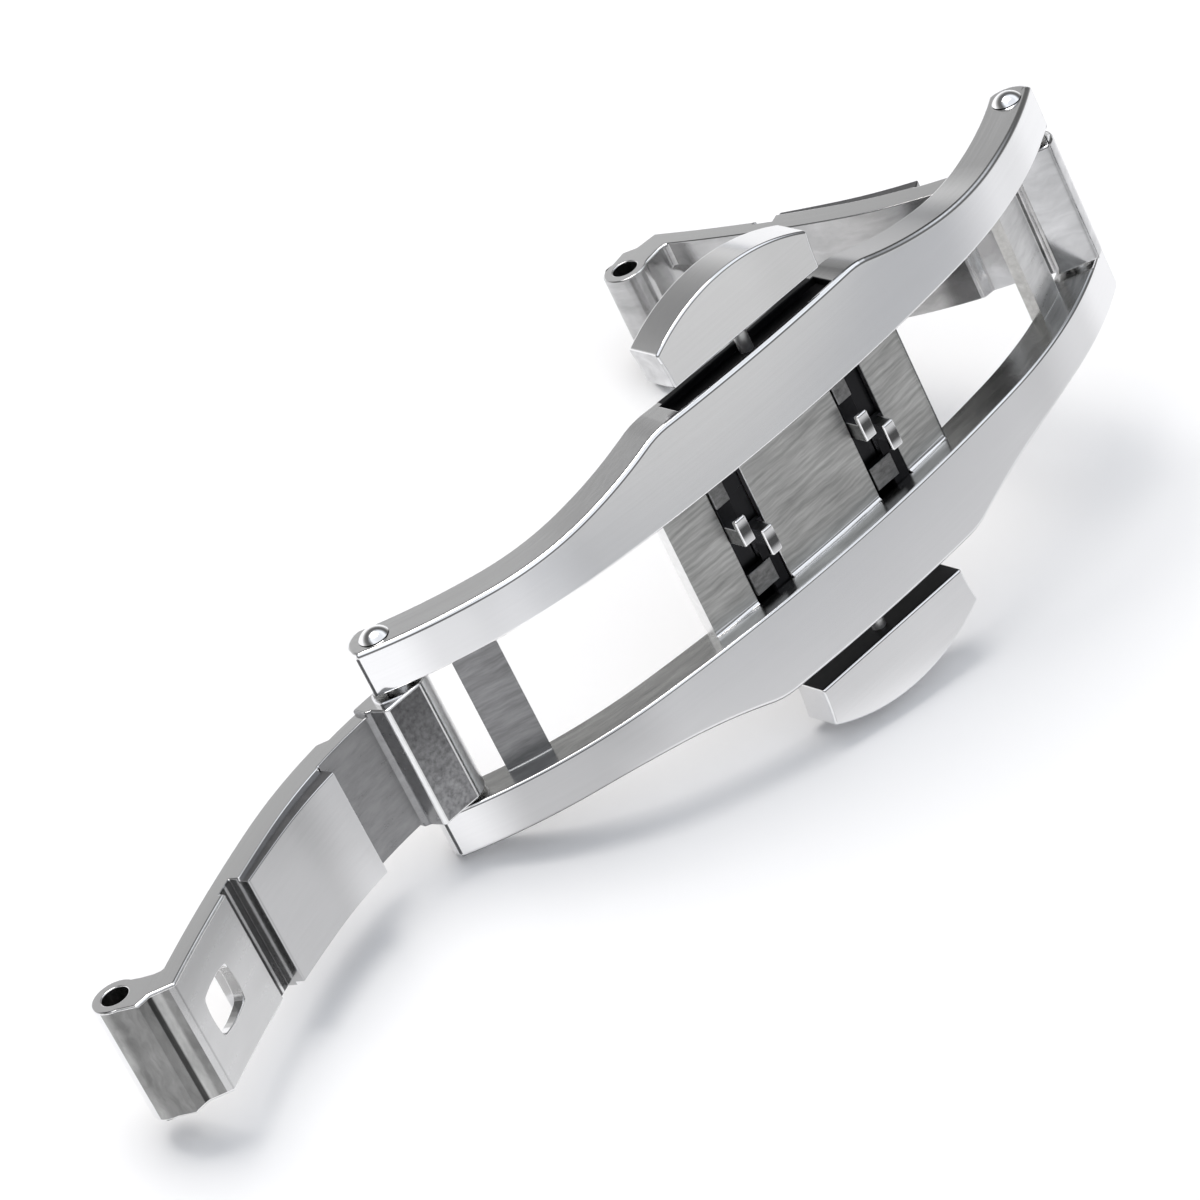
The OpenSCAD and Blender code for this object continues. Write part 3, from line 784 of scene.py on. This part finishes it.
# %% [markdown]
# ## Steel finishes
#
# All of the clasp is steel, but it isn't all finished alike. The rails, buttons and the arms'
# thick plates are polished until they mirror the room softly. The bridge, the crossbars and the
# knuckles are brushed or left as they were cast, so they look darker. On top of that, much light
# and shade is painted into the colours: tone ramps along a piece as painted reflection, darker
# copies of the polish, near black painted shade in hollows and gaps, and painted highlights on
# edges. One class below lets a finish be written as sums and products: each value wraps a
# socket, and an operator adds the Math node it stands for.

# %% Shader values and nodes
def feed(tree, socket, item):
    """Links an output to a socket, or sets the socket to a constant."""
    source = item.socket if isinstance(item, Value) else item
    if isinstance(source, bpy.types.NodeSocket):
        tree.links.new(source, socket)
    else:
        socket.default_value = source


def add_node(tree, kind, settings=None, inputs=None):
    """A new node with its settings and with what goes into it, by the sockets' names or numbers."""
    made = tree.nodes.new(kind)
    for key, item in (settings or {}).items():
        setattr(made, key, item)
    for key, item in (inputs or {}).items():
        feed(tree, made.inputs[key], item)
    return made


class Value:
    """A number that varies over a surface."""

    def __init__(self, tree, socket):
        self.tree, self.socket = tree, socket

    def math(self, operation, *others):
        given = dict(enumerate((self, *others)))
        made = add_node(self.tree, "ShaderNodeMath", {"operation": operation}, given)
        return Value(self.tree, made.outputs[0])

    def __add__(self, other):
        return self.math("ADD", other)

    def __sub__(self, other):
        return self.math("SUBTRACT", other)

    def __mul__(self, other):
        return self.math("MULTIPLY", other)

    def __rsub__(self, other):
        return (self * -1).math("ADD", other)

    def clamp(self):
        return self.math("MAXIMUM", 0.0).math("MINIMUM", 1.0)

    __radd__, __rmul__ = __add__, __mul__


class Finish:
    """A material with one Principled shader and short ways to add nodes."""

    def __init__(self, name):
        self.material = bpy.data.materials.new(name)
        self.material.use_nodes = True
        self.tree = self.material.node_tree
        self.shader = next(n for n in self.tree.nodes if n.type == "BSDF_PRINCIPLED")

    def node(self, kind, settings=None, inputs=None):
        return add_node(self.tree, kind, settings, inputs)

    def vector(self, operation, *given):
        return self.node("ShaderNodeVectorMath", {"operation": operation}, dict(enumerate(given))).outputs

    def rise(self, value, low, high, start=0.0, end=1.0):
        """A number that goes softly from start to end while the value goes from low to high."""
        given = {"Value": value, "From Min": low, "From Max": high, "To Min": start, "To Max": end}
        made = self.node("ShaderNodeMapRange", {"interpolation_type": "SMOOTHSTEP"}, given)
        return Value(self.tree, made.outputs[0])

    def along(self, s, y, o):
        """The flat place of the surface, stretched by three factors."""
        place = self.node("ShaderNodeAttribute", {"attribute_name": "flat"})
        return self.vector("MULTIPLY", place.outputs["Vector"], (s, y, o))[0]

    def noise(self, vector, detail=3.0, rough=0.55):
        made = self.node("ShaderNodeTexNoise", None,
                         {"Vector": vector, "Scale": 1.0, "Detail": detail, "Roughness": rough})
        return Value(self.tree, made.outputs["Fac"])

    def set(self, key, item):
        feed(self.tree, self.shader.inputs[key], item)

    def colours(self, factor, low, high):
        """A mix of two colours, each of them given as a constant or as a socket."""
        low, high = (c if isinstance(c, bpy.types.NodeSocket) else (*c, 1) for c in (low, high))
        made = self.node("ShaderNodeMix", {"data_type": "RGBA"}, {"Factor": factor, 6: low, 7: high})
        return made.outputs[2]

    # Painted light: scales the colour by a factor past a flat place
    def fade(self, colour, axis, low, high, factor):
        place = self.node("ShaderNodeSeparateXYZ", None, {0: self.along(1, 1, 1)})
        step = self.rise(place.outputs[axis], low, high, 1.0, factor)
        scaled = self.node("ShaderNodeVectorMath", {"operation": "SCALE"}, {0: colour, "Scale": step})
        return scaled.outputs[0]

    def bump(self, height, strength):
        """The normal over scratches of 0.02 mm."""
        given = {"Height": height, "Strength": strength, "Distance": 0.02 * MM}
        return self.node("ShaderNodeBump", None, given).outputs["Normal"]


def steel(name, tone, rough, streaks=(0.2, 14, 14), streak=0.1, grain=0.02, bump=0.1, wave=None, fades=()):
    """Steel with brush lines along the piece, straight or wavy, and a slow change of tone.

    A fade (axis, low, high, factor) is painted light: it multiplies the tone by the factor
    past a flat place, as a painted reflection where the piece mirrors something darker or
    lighter than the table.
    """
    finish = Finish(name)
    at = finish.along(*streaks)
    if wave:
        drawn = finish.node("ShaderNodeTexNoise", None,
                            {"Vector": finish.along(0.7, 0.7, 0.7), "Scale": 1.0, "Detail": 3.0})
        at = finish.vector("MULTIPLY_ADD", drawn.outputs["Color"], wave, at)[0]
    lines = finish.noise(at, 4.0, 0.6)
    drift = finish.noise(finish.along(0.35, 0.5, 0.5), 2.0)
    specks = finish.noise(finish.along(9, 9, 9), 2.0)
    mixed = ((lines - 0.5) * 2.2 + (drift - 0.5) * 0.7 + 0.5).clamp()
    dark, light = (tuple(min(1.0, c * (1 + way * streak)) for c in tone) for way in (-1, 1))
    colour = finish.colours(mixed, dark, light)
    for fade in fades:
        colour = finish.fade(colour, *fade)
    finish.set("Base Color", colour)
    finish.set("Roughness", ((lines - 0.5) * rough * 0.5 + (specks - 0.5) * grain + rough).clamp())
    finish.set("Metallic", 1.0)
    finish.set("Normal", finish.bump(lines * 0.7 + specks * 0.3, bump))
    return finish.material


def polish(name, tone=(0.86, 0.86, 0.865), rough=0.1, streak=0.02, fades=()):
    """Steel that mirrors what is round it and has hardly a line."""
    return steel(name, tone, rough, (0.15, 8, 8), streak, 0.01, 0.012, fades=fades)


print("shader tools ready")

# %% The finishes
POLISHED = polish("polished_steel")
# A darker copy of the polish: painted dark reflection on the knuckles' outer faces and the front button's
# ends
POLISH_PAINTED_DARKER = steel("shaded_polish", (0.60, 0.60, 0.605), 0.16, (0.45, 1.3, 1.3), 0.22, 0.02, 0.05, (0, 1.6, 0))
BRIDGE = steel("brushed_bridge", (0.50, 0.50, 0.49), 0.4, (0.45, 5.5, 5.5), 0.34, 0.08, 0.4, (0, 1.5, 0))
CROSSBAR = steel("brushed_crossbar", (0.28, 0.28, 0.285), 0.42, (0.6, 4.5, 4.5), 0.3, 0.08, 0.5,
                 (0, 1.4, 0))
# The far crossbar: a lighter painted copy of the crossbar's brushed steel
FAR_BAR = steel("satin_crossbar", (0.58, 0.58, 0.58), 0.3, (0.5, 2.5, 2.5), 0.18, 0.06, 0.2, (0, 1.2, 0))
WALL = steel("inner_wall", (0.55, 0.55, 0.54), 0.22, (0.5, 3, 3), 0.2, 0.04, 0.1, (0, 0, 1.2))
SATIN = steel("satin_steel", (0.50, 0.50, 0.50), 0.2, (0.25, 3, 3), 0.08, 0.04, 0.06)
# Satin steel of the slim end, painted lighter towards one side
SLIM = steel("slim_satin", (0.41, 0.41, 0.41), 0.26, (0.2, 1.5, 1.5), 0.06, 0.04, 0.05,
             fades=[(1, -2.4, 0.4, 1.45)])
# The tube: a dark line at the seam of the rolled tube, a painted highlight strip beside it and a painted
# highlight on top
TUBE = steel("tube_steel", (0.24, 0.24, 0.236), 0.25, (1.6, 0.3, 1.6), 0.4, 0.05, 0.1, (1.6, 0, 1.6),
             fades=[(0, 0.70, 0.76, 0.22), (0, 0.88, 0.93, 8.0), (0, 1.03, 1.09, 0.6), (2, 2.2, 2.6, 1.5)])
DULL = steel("dull_steel", (0.30, 0.30, 0.305), 0.3, (0.8, 3, 3), 0.16, 0.06, 0.15, (0, 1, 0))
# Groove: near black painted shade with a painted highlight line along its floor
GROOVE = steel("groove_steel", (0.09, 0.09, 0.09), 0.25, (3, 0.4, 3), 0.3, 0.06, 0.1,
               fades=[(0, 6.72, 6.77, 7.0), (0, 6.86, 6.92, 0.14)])
# The knuckle's cast steel: its grain is real, and it is painted lighter towards one side
CAST = steel("cast_steel", (0.15, 0.15, 0.153), 0.45, (5, 5, 5), 0.45, 0.1, 0.9,
             fades=[(1, -2.4, 2.4, 2.2)])
# The arm plate's polish, painted darker as a dim reflection and lighter towards the knuckle
TOP = steel("plate_polish", (0.5, 0.5, 0.503), 0.14, (0.15, 8, 8), 0.03, 0.01, 0.02,
            fades=[(0, 10.8, 13.2, 1.45)])
# Front rail: polish painted darker and lighter in bands along its length as reflection
FRONT_RAIL = polish("front_polish", fades=[(0, 10, 12, 1.15), (0, 13, 15, 0.77), (0, 16.5, 18.2, 1.22),
                                           (0, -13, -15, 0.9), (0, -15.5, -17.5, 1.12)])
# The swung arm's polish: a darker copy with a painted dark reflection blob
FAR_ARM_PAINTED_REFLECTION = steel("far_arm_polish", (0.46, 0.46, 0.462), 0.2, (0.45, 1.3, 1.3), 0.25, 0.02, 0.05, (0, 1.6, 0),
                fades=[(0, 13.0, 13.9, 0.4), (0, 14.9, 15.3, 3.0)])
# Hook tops: painted shade across the middle and a painted highlight along each long edge
HOOK = steel("hook_top", (0.9, 0.9, 0.905), 0.2, (3, 3, 3), 0.02, 0.01, 0.02,
             fades=[(1, 0.12, 0.5, 0.12), (1, 0.7, 1.05, 8.0)])
# Rear rail: polish painted darker and lighter along its length as reflection
REAR_RAIL = polish("rear_polish", (0.82, 0.82, 0.825), fades=[(0, 9.5, 13.5, 0.6), (0, 16.2, 18.8, 1.65),
                                                             (0, -9.5, -12, 0.82), (0, -15, -17.2, 1.25)])
# Front flank: polish painted darker over part of its length as reflection
FLANK = polish("flank_polish", rough=0.14, streak=0.04, fades=[(0, -3.8, -5.2, 0.36), (0, -10, -12.5, 2.6)])
LINE = steel("shadow_line", (0.17, 0.17, 0.175), 0.35, (3, 3, 3), 0.1, 0.03, 0.05)
# Button crowns: polish painted slightly darker towards one end as reflection
FRONT_CAP = polish("front_cap_polish", fades=[(0, 0.5, 2.5, 0.93)])
REAR_CAP = polish("cap_polish", fades=[(0, -1.5, 3.2, 0.94)])
# Painted highlight: a light tone on bevels and end faces beside darker faces
PAINTED_EDGE_HIGHLIGHT = steel("rubbed_edge", (0.88, 0.88, 0.88), 0.32, (3, 3, 3), 0.06, 0.03, 0.05)
BRIGHT = steel("bright_steel", (0.9, 0.9, 0.905), 0.12, (3, 3, 3), 0.02, 0.01, 0.02)
STEM = steel("stem_polish", (0.92, 0.92, 0.92), 0.42, (3, 3, 3), 0.03, 0.02, 0.05)
SLIDE = steel("slide_steel", (0.22, 0.22, 0.22), 0.35, (3, 6, 6), 0.4, 0.08, 0.5)
# Painted shade: near black in hollows, pockets and gaps, on the buttons' inner faces, on the sliders' low
# faces and on a ring at each pin's neck
PAINTED_BLACK_SHADE = steel("dark_pocket", (0.025, 0.025, 0.027), 0.5, (3, 3, 3), 0.2, 0.05, 0.2)
WIRE = steel("spring_wire", (0.45, 0.45, 0.46), 0.3, (3, 3, 3), 0.1, 0.05, 0.1)
print("finishes:", [m.name for m in bpy.data.materials])

# %% The back plate: near black painted shade where it closes the latch, satin on its wrist face
def plate_finish(name):
    finish = Finish(name)
    place = finish.node("ShaderNodeTexCoord").outputs["Object"]
    height = finish.node("ShaderNodeSeparateXYZ", None, {0: place}).outputs["Z"]
    given = {"Value": height, "From Min": 0.18 * MM, "From Max": 0.28 * MM}
    inner = finish.node("ShaderNodeMapRange", None, given)
    lines = finish.noise(finish.vector("MULTIPLY", place, (250, 7000, 7000))[0], 4.0, 0.6)
    brushed = finish.colours(lines, (0.56, 0.56, 0.57), (0.7, 0.7, 0.71))
    # Painted shade: near black on the plate's inner side, which closes the slots
    finish.set("Base Color", finish.colours(inner.outputs[0], brushed, (0.03, 0.03, 0.032)))
    finish.set("Roughness", ((lines - 0.5) * 0.15 + 0.3).clamp())
    finish.set("Metallic", 1.0)
    finish.set("Normal", finish.bump(lines, 0.15))
    return finish.material


PLATE = plate_finish("closing_plate")
print("plate finish ready")

# %% [markdown]
# ## Return springs
#
# Two coil springs stand behind each button and push it back out. A node group winds one from a
# spiral and a round wire, so turns, radius, length and wire can each be set by name. The four
# springs are the same winding, laid along the clasp's depth and turned half round for the front.

# %% A node group that winds a spring
def spring_group():
    group = bpy.data.node_groups.new("coil_spring", "GeometryNodeTree")
    group.interface.new_socket("Geometry", in_out="INPUT", socket_type="NodeSocketGeometry")
    for name in ("Turns", "Coil Radius", "Length", "Wire Radius"):
        group.interface.new_socket(name, in_out="INPUT", socket_type="NodeSocketFloat")
    group.interface.new_socket("Finish", in_out="INPUT", socket_type="NodeSocketMaterial")
    group.interface.new_socket("Geometry", in_out="OUTPUT", socket_type="NodeSocketGeometry")
    given = add_node(group, "NodeGroupInput").outputs
    spiral = add_node(group, "GeometryNodeCurveSpiral", None, {
        "Resolution": 24, "Reverse": True, "Rotations": given["Turns"], "Height": given["Length"],
        "Start Radius": given["Coil Radius"], "End Radius": given["Coil Radius"]})
    wire = add_node(group, "GeometryNodeCurvePrimitiveCircle", None, {
        "Resolution": 10, "Radius": given["Wire Radius"]})
    tube = add_node(group, "GeometryNodeCurveToMesh", None, {
        "Curve": spiral.outputs["Curve"], "Profile Curve": wire.outputs["Curve"], "Fill Caps": True})
    real = add_node(group, "GeometryNodeRealizeInstances", None, {"Geometry": tube.outputs["Mesh"]})
    finish = add_node(group, "GeometryNodeSetMaterial", None, {
        "Geometry": real.outputs["Geometry"], "Material": given["Finish"]})
    add_node(group, "NodeGroupOutput", None, {"Geometry": finish.outputs["Geometry"]})
    return group


SPRING_FROM, SPRING_LONG, COIL_R, WIRE_R, TURNS = 3.22, 2.11, 0.285, 0.065, 7
winding = spring_group()
print("spring inputs:", [item.name for item in winding.interface.items_tree])


# %% Four springs
def make_spring(name, node, x, side):
    spring = linked(name, bpy.data.meshes.new(name))
    step = spring.modifiers.new("wind", "NODES")
    step.node_group = winding
    given = {"Turns": float(TURNS), "Coil Radius": COIL_R * MM, "Length": (SPRING_LONG - 2 * WIRE_R) * MM,
             "Wire Radius": WIRE_R * MM, "Finish": WIRE}
    for item in winding.interface.items_tree:
        if item.in_out == "INPUT" and item.name in given:
            step[item.identifier] = given[item.name]
    evaluated(spring, name)
    start = Matrix.Translation((x * side * MM, (SPRING_FROM + WIRE_R) * MM, STEM_Z * MM))
    half_turn = Matrix.Rotation(0 if side > 0 else math.pi, 4, "Z")
    spring.data.transform(half_turn @ start @ Matrix.Rotation(-math.pi / 2, 4, "X"))
    smooth(spring, 60)
    solid_check(spring)
    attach(spring, "clasp_frame")
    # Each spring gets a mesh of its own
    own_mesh(spring)
    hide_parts(node)
    return spring


for side, place in ((1, "rear"), (-1, "front")):
    for x, way in ((SPRING_AT, "right"), (-SPRING_AT, "left")):
        make_spring(f"{place}_coil_{way}", f"{place}_spring_{way}", x, side)

# %% Give each face its finish
def polygon_way(places):
    """The way a face looks, from its corners (Newell's sum)."""
    total = Vector()
    for a, b in zip(places, places[1:] + places[:1]):
        total += a.cross(b)
    return total.normalized() if total.length > 0 else Vector((0, 0, 1))


def paint(thing, pick):
    """Sets each face's finish from its flat place and the way it faces on the flat piece."""
    flat = thing.data.attributes["flat"].data
    picked = []
    for face in thing.data.polygons:
        places = [Vector(flat[v].vector) for v in face.vertices]
        picked.append(pick(sum(places, Vector()) / len(places), polygon_way(places)))
    finishes = sorted(set(picked), key=lambda finish: finish.name)
    thing.data.materials.clear()
    for finish in finishes:
        thing.data.materials.append(finish)
    for face, finish in zip(thing.data.polygons, picked):
        face.material_index = finishes.index(finish)


def frame_finish(at, way):
    across = abs(at.y)
    at_bridge = abs(at.x) < BRIDGE_HALF + 0.1
    # Painted shade: near black under the bridge round the slider pockets
    if abs(at.x) < BRIDGE_HALF - 0.06 and at.z < BRIDGE_TOP - 0.06 and across < POCKET[1]:
        return PAINTED_BLACK_SHADE
    # Painted shade: near black in the hollow behind each button
    in_hollow = across > HOLLOW[0] - 0.05 and abs(at.x) < HOLLOW_VIEW[1] + 0.02
    rim = MID_WIDE - 0.03
    if in_hollow and (at.z < 0.7 and across > rim or across < rim and at.z < 0.72):
        return PAINTED_BLACK_SHADE
    # Painted dark lines on the rails' end edges and on the rear outer bevel
    at_end = abs(at.x) - HINGE_S > 0.6 and at.z < HALF_T - 0.001 and abs(way.y) < 0.6
    rear_edge = at.y > CHANNEL + 1 and 0.5 < way.y < 0.9 and at.z > 0.5
    if at_end and at.z > HALF_T - 0.1 and CHANNEL < across < END_HALF - 0.2 or rear_edge:
        return LINE
    # Channel edge bevels: bright steel at the bridge, painted highlight elsewhere
    if CHANNEL - 0.205 < across < CHANNEL - 0.001 and abs(way.y) > 0.1:
        return BRIGHT if at_bridge else PAINTED_EDGE_HIGHLIGHT
    if abs(across - CHANNEL) < 0.002 and abs(way.y) > 0.9 and at.z < HALF_T - 0.12:
        return WALL
    # Rails: polish with painted reflections along their length
    if across > CHANNEL - 0.002:
        if at.y < 0:
            return FLANK if way.y < -0.8 else FRONT_RAIL
        return REAR_RAIL
    if abs(way.x) > 0.5:
        # The bridge's end faces get a painted highlight
        if at_bridge and at.x > 0:
            return PAINTED_EDGE_HIGHLIGHT
        return WALL if at.x < -BRIDGE_HALF - 1 else CROSSBAR
    if at_bridge:
        return BRIDGE
    # The far crossbar gets a lighter painted copy of the crossbar steel
    return CROSSBAR if at.x > 0 else FAR_BAR


def arm_finish(at, way):
    p = HINGE_S - at.x
    beside_plate = PLATE_ROOM[0] < p < PLATE_ROOM[1]
    # Painted dark line on the plate's side faces
    if beside_plate and abs(abs(at.y) - PLATE_HALF) < 0.02 and abs(way.y) > 0.9:
        return LINE
    if beside_plate and abs(at.y) > PLATE_HALF + 0.01 and way.z < -0.5:
        return BRIGHT
    if abs(way.y) > 0.9:
        return POLISHED
    # Painted highlight on the slim end's bevels
    if p > SLIM_FROM and abs(way.y) > 0.2 and way.z < 0.3:
        return PAINTED_EDGE_HIGHLIGHT
    # Darker painted copy of the polish on the knuckle's outer faces
    if p < 4 and at.z > 0.3:
        return POLISH_PAINTED_DARKER
    # Knuckle: cast grain painted lighter to one side, painted highlight on its other faces
    if p < 1.68:
        return CAST if way.z < -0.97 and at.z < -1.1 else PAINTED_EDGE_HIGHLIGHT
    if way.z > 0.3 or at.z > 0.3 and p < TUBE_AT - 1.5:
        return POLISHED
    if p < PLATE_FROM - 0.01:
        return DULL
    # Groove: painted shade with a painted highlight line
    if PLATE_TO + 0.01 < p < SLIM_FROM - 0.01:
        return GROOVE
    # Plate: polish with painted reflection
    if p < PLATE_TO + 0.2:
        return TOP
    # Tube: seam line and painted highlights; slim end: satin painted lighter to one side
    return TUBE if at.z > 0.9 and p > TUBE_AT - 0.35 or p > TUBE_AT - 0.1 else SLIM


def front_button_finish(at, way):
    # Ends: darker painted copy of the polish; inner face: near black painted shade; crown: painted
    # reflection
    if abs(way.x) > 0.7:
        return POLISH_PAINTED_DARKER
    return PAINTED_BLACK_SHADE if way.y < -0.9 else FRONT_CAP


def rear_button_finish(at, way):
    # Inner face: near black painted shade; crown: painted reflection
    return PAINTED_BLACK_SHADE if way.y < -0.9 else REAR_CAP


def slider_finish(at, way):
    # Hook tops: painted shade and painted highlights
    if way.z > 0.95 and at.z > HOOK_TOP - 0.02:
        return HOOK
    if abs(at.y) < 1.3 and at.z > 0.9:
        return BRIGHT
    # Low faces: near black painted shade
    return SLIDE if at.z > BAR_LOW + TONGUE_T + 0.02 or way.x > 0.9 else PAINTED_BLACK_SHADE


def far_arm_finish(at, way):
    # The swung arm's polished faces get a darker painted reflection
    near = arm_finish(at, way)
    if near is SLIM:
        return SATIN
    return FAR_ARM_PAINTED_REFLECTION if near in (POLISHED, TOP) and abs(way.y) < 0.9 else near


paint(clasp_frame, frame_finish)
paint(opened_arm, arm_finish)
paint(swung_arm, far_arm_finish)
paint(rear_cap, rear_button_finish)
paint(front_cap, front_button_finish)
for piece in (latch_rear, latch_front):
    paint(piece, slider_finish)
for pin in hinge_pins:
    pin.data.materials.append(BRIGHT)
    pin.data.materials.append(PAINTED_BLACK_SHADE)
    # A thin ring at each pin's neck: near black painted shade
    for face in pin.data.polygons:
        neck = abs(face.center.y) / MM - PIN_NECK
        face.material_index = 1 if 0.002 < neck < 0.035 else 0
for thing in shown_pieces():
    if "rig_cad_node" in thing:
        thing.data.materials.clear()
        thing.data.materials.append(PLATE if thing["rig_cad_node"] == "back_plate" else SATIN)
    elif not thing.data.materials:
        thing.data.materials.append(STEM)

# %% [markdown]
# ## Table, light and room
#
# The clasp lies on a white table. It rests on three points: the lower button, the near end of the
# lower rail and the swung arm's tube, so the table is tilted against the frame. Polished steel
# shows what is round it, so the room matters more than the lamp. Its ceiling is bright, which
# gives the bevels their white lines, and a dark band below the ceiling draws a fine line beside
# each. The long faces of the rails mirror the table off to the right of the picture, where it
# turns light grey. The table lets the camera through from behind, so it doesn't hide the clasp in
# views from below.

# %% Table
TABLE_HALF = 1.2
table_up = Vector((-0.159, -0.8824, 0.4429)).normalized()
touches = Vector((1.31, 10.08, -0.19)) * MM
side_way = table_up.cross(Vector((0, 0, 1))).normalized()
long_way = table_up.cross(side_way).normalized()
middle = touches - table_up * 0.1 * MM
table_mesh = bpy.data.meshes.new("table_top")
table_mesh.from_pydata([middle + (side_way * a + long_way * b) * TABLE_HALF
                        for a, b in ((-1, -1), (1, -1), (1, 1), (-1, 1))], [], [(0, 1, 2, 3)])
if table_mesh.polygons[0].normal.dot(table_up) < 0:
    table_mesh.flip_normals()
table_top = linked("table_top", table_mesh)
print("table passes", tuple(round(v, 4) for v in middle))

# %% The table's white, which turns grey off to the right of the picture
table_right = (picture_right - table_up * picture_right.dot(table_up)).normalized()
table_far = (picture_up - table_up * picture_up.dot(table_up)).normalized()
grey_way = table_right * math.cos(math.radians(25)) - table_far * math.sin(math.radians(25))
cloth = Finish("table_white")
spot = cloth.node("ShaderNodeTexCoord").outputs["Object"]
past_picture = cloth.rise(cloth.vector("DOT_PRODUCT", spot, table_right)["Value"], 0.016, 0.038)
towards = cloth.vector("NORMALIZE", spot)["Vector"]
turned_grey = cloth.rise(cloth.vector("DOT_PRODUCT", towards, grey_way)["Value"], 0.62, 0.95)
cloth.set("Roughness", 0.9)
cloth.set("Base Color", cloth.colours(past_picture * turned_grey, (0.965, 0.967, 0.975), (0.7, 0.7, 0.705)))
from_behind = cloth.node("ShaderNodeNewGeometry").outputs["Backfacing"]
clear = cloth.node("ShaderNodeBsdfTransparent").outputs[0]
both = cloth.node("ShaderNodeMixShader", None, {0: from_behind, 1: cloth.shader.outputs[0], 2: clear})
surface = next(n for n in cloth.tree.nodes if n.type == "OUTPUT_MATERIAL")
feed(cloth.tree, surface.inputs["Surface"], both.outputs[0])
table_mesh.materials.append(cloth.material)
print("table nodes:", len(cloth.tree.nodes))

# %% World: a mid grey horizon, a dark band and a bright, faintly blue ceiling
ROOM_TONES = [(0.0, 0.68), (0.5, 0.68), (0.515, 0.74), (0.545, 0.57), (0.58, 0.37), (0.65, 0.16),
              (0.77, 0.11), (0.84, 0.5), (0.87, 1.1), (0.93, 1.1), (0.96, 0.95), (1.0, 0.9)]
CEILING_FROM, CEILING_TINT = 0.8, (0.955, 0.988, 1.045)
world = bpy.data.worlds.new("room")
world.use_nodes = True
bpy.context.scene.world = world
room = world.node_tree
room.nodes.clear()
way = add_node(room, "ShaderNodeTexCoord").outputs["Generated"]
height = add_node(room, "ShaderNodeVectorMath", {"operation": "DOT_PRODUCT"}, {0: way, 1: table_up})
share = Value(room, height.outputs["Value"]).math("MULTIPLY_ADD", 0.5, 0.5)
ramp = add_node(room, "ShaderNodeValToRGB", None, {0: share})
stops = ramp.color_ramp.elements
while len(stops) < len(ROOM_TONES):
    stops.new(0.5)
for stop, (at, tone) in zip(stops, ROOM_TONES):
    stop.position = at
    tint = CEILING_TINT if at > CEILING_FROM else (1, 1, 1)
    stop.color = (*(tone * part for part in tint), 1)
room_light = add_node(room, "ShaderNodeBackground", None, {"Color": ramp.outputs[0], "Strength": 1.0})
add_node(room, "ShaderNodeOutputWorld", None, {"Surface": room_light.outputs[0]})
print("room tones from below to above:", [tone for at, tone in ROOM_TONES])

# %% The lamp, a soft box that looks at the clasp
LAMP_AWAY, LAMP_SIZE, LAMP_POWER, LAMP_COLOUR = 0.5, 0.3, 1.62, (1.0, 0.962, 0.915)
lamp_way = table_up - table_right * 0.45 + table_far * 0.3
lamp = bpy.data.lights.new("key_light", "AREA")
lamp.shape = "SQUARE"
lamp.size, lamp.energy, lamp.color = LAMP_SIZE, LAMP_POWER, LAMP_COLOUR
key_light = linked("key_light", lamp)
key_light.location = lamp_way.normalized() * LAMP_AWAY
key_light.rotation_euler = (-lamp_way).to_track_quat("-Z", "Y").to_euler()
bpy.context.scene.view_settings.view_transform = "Standard"
print("lamp power", LAMP_POWER)
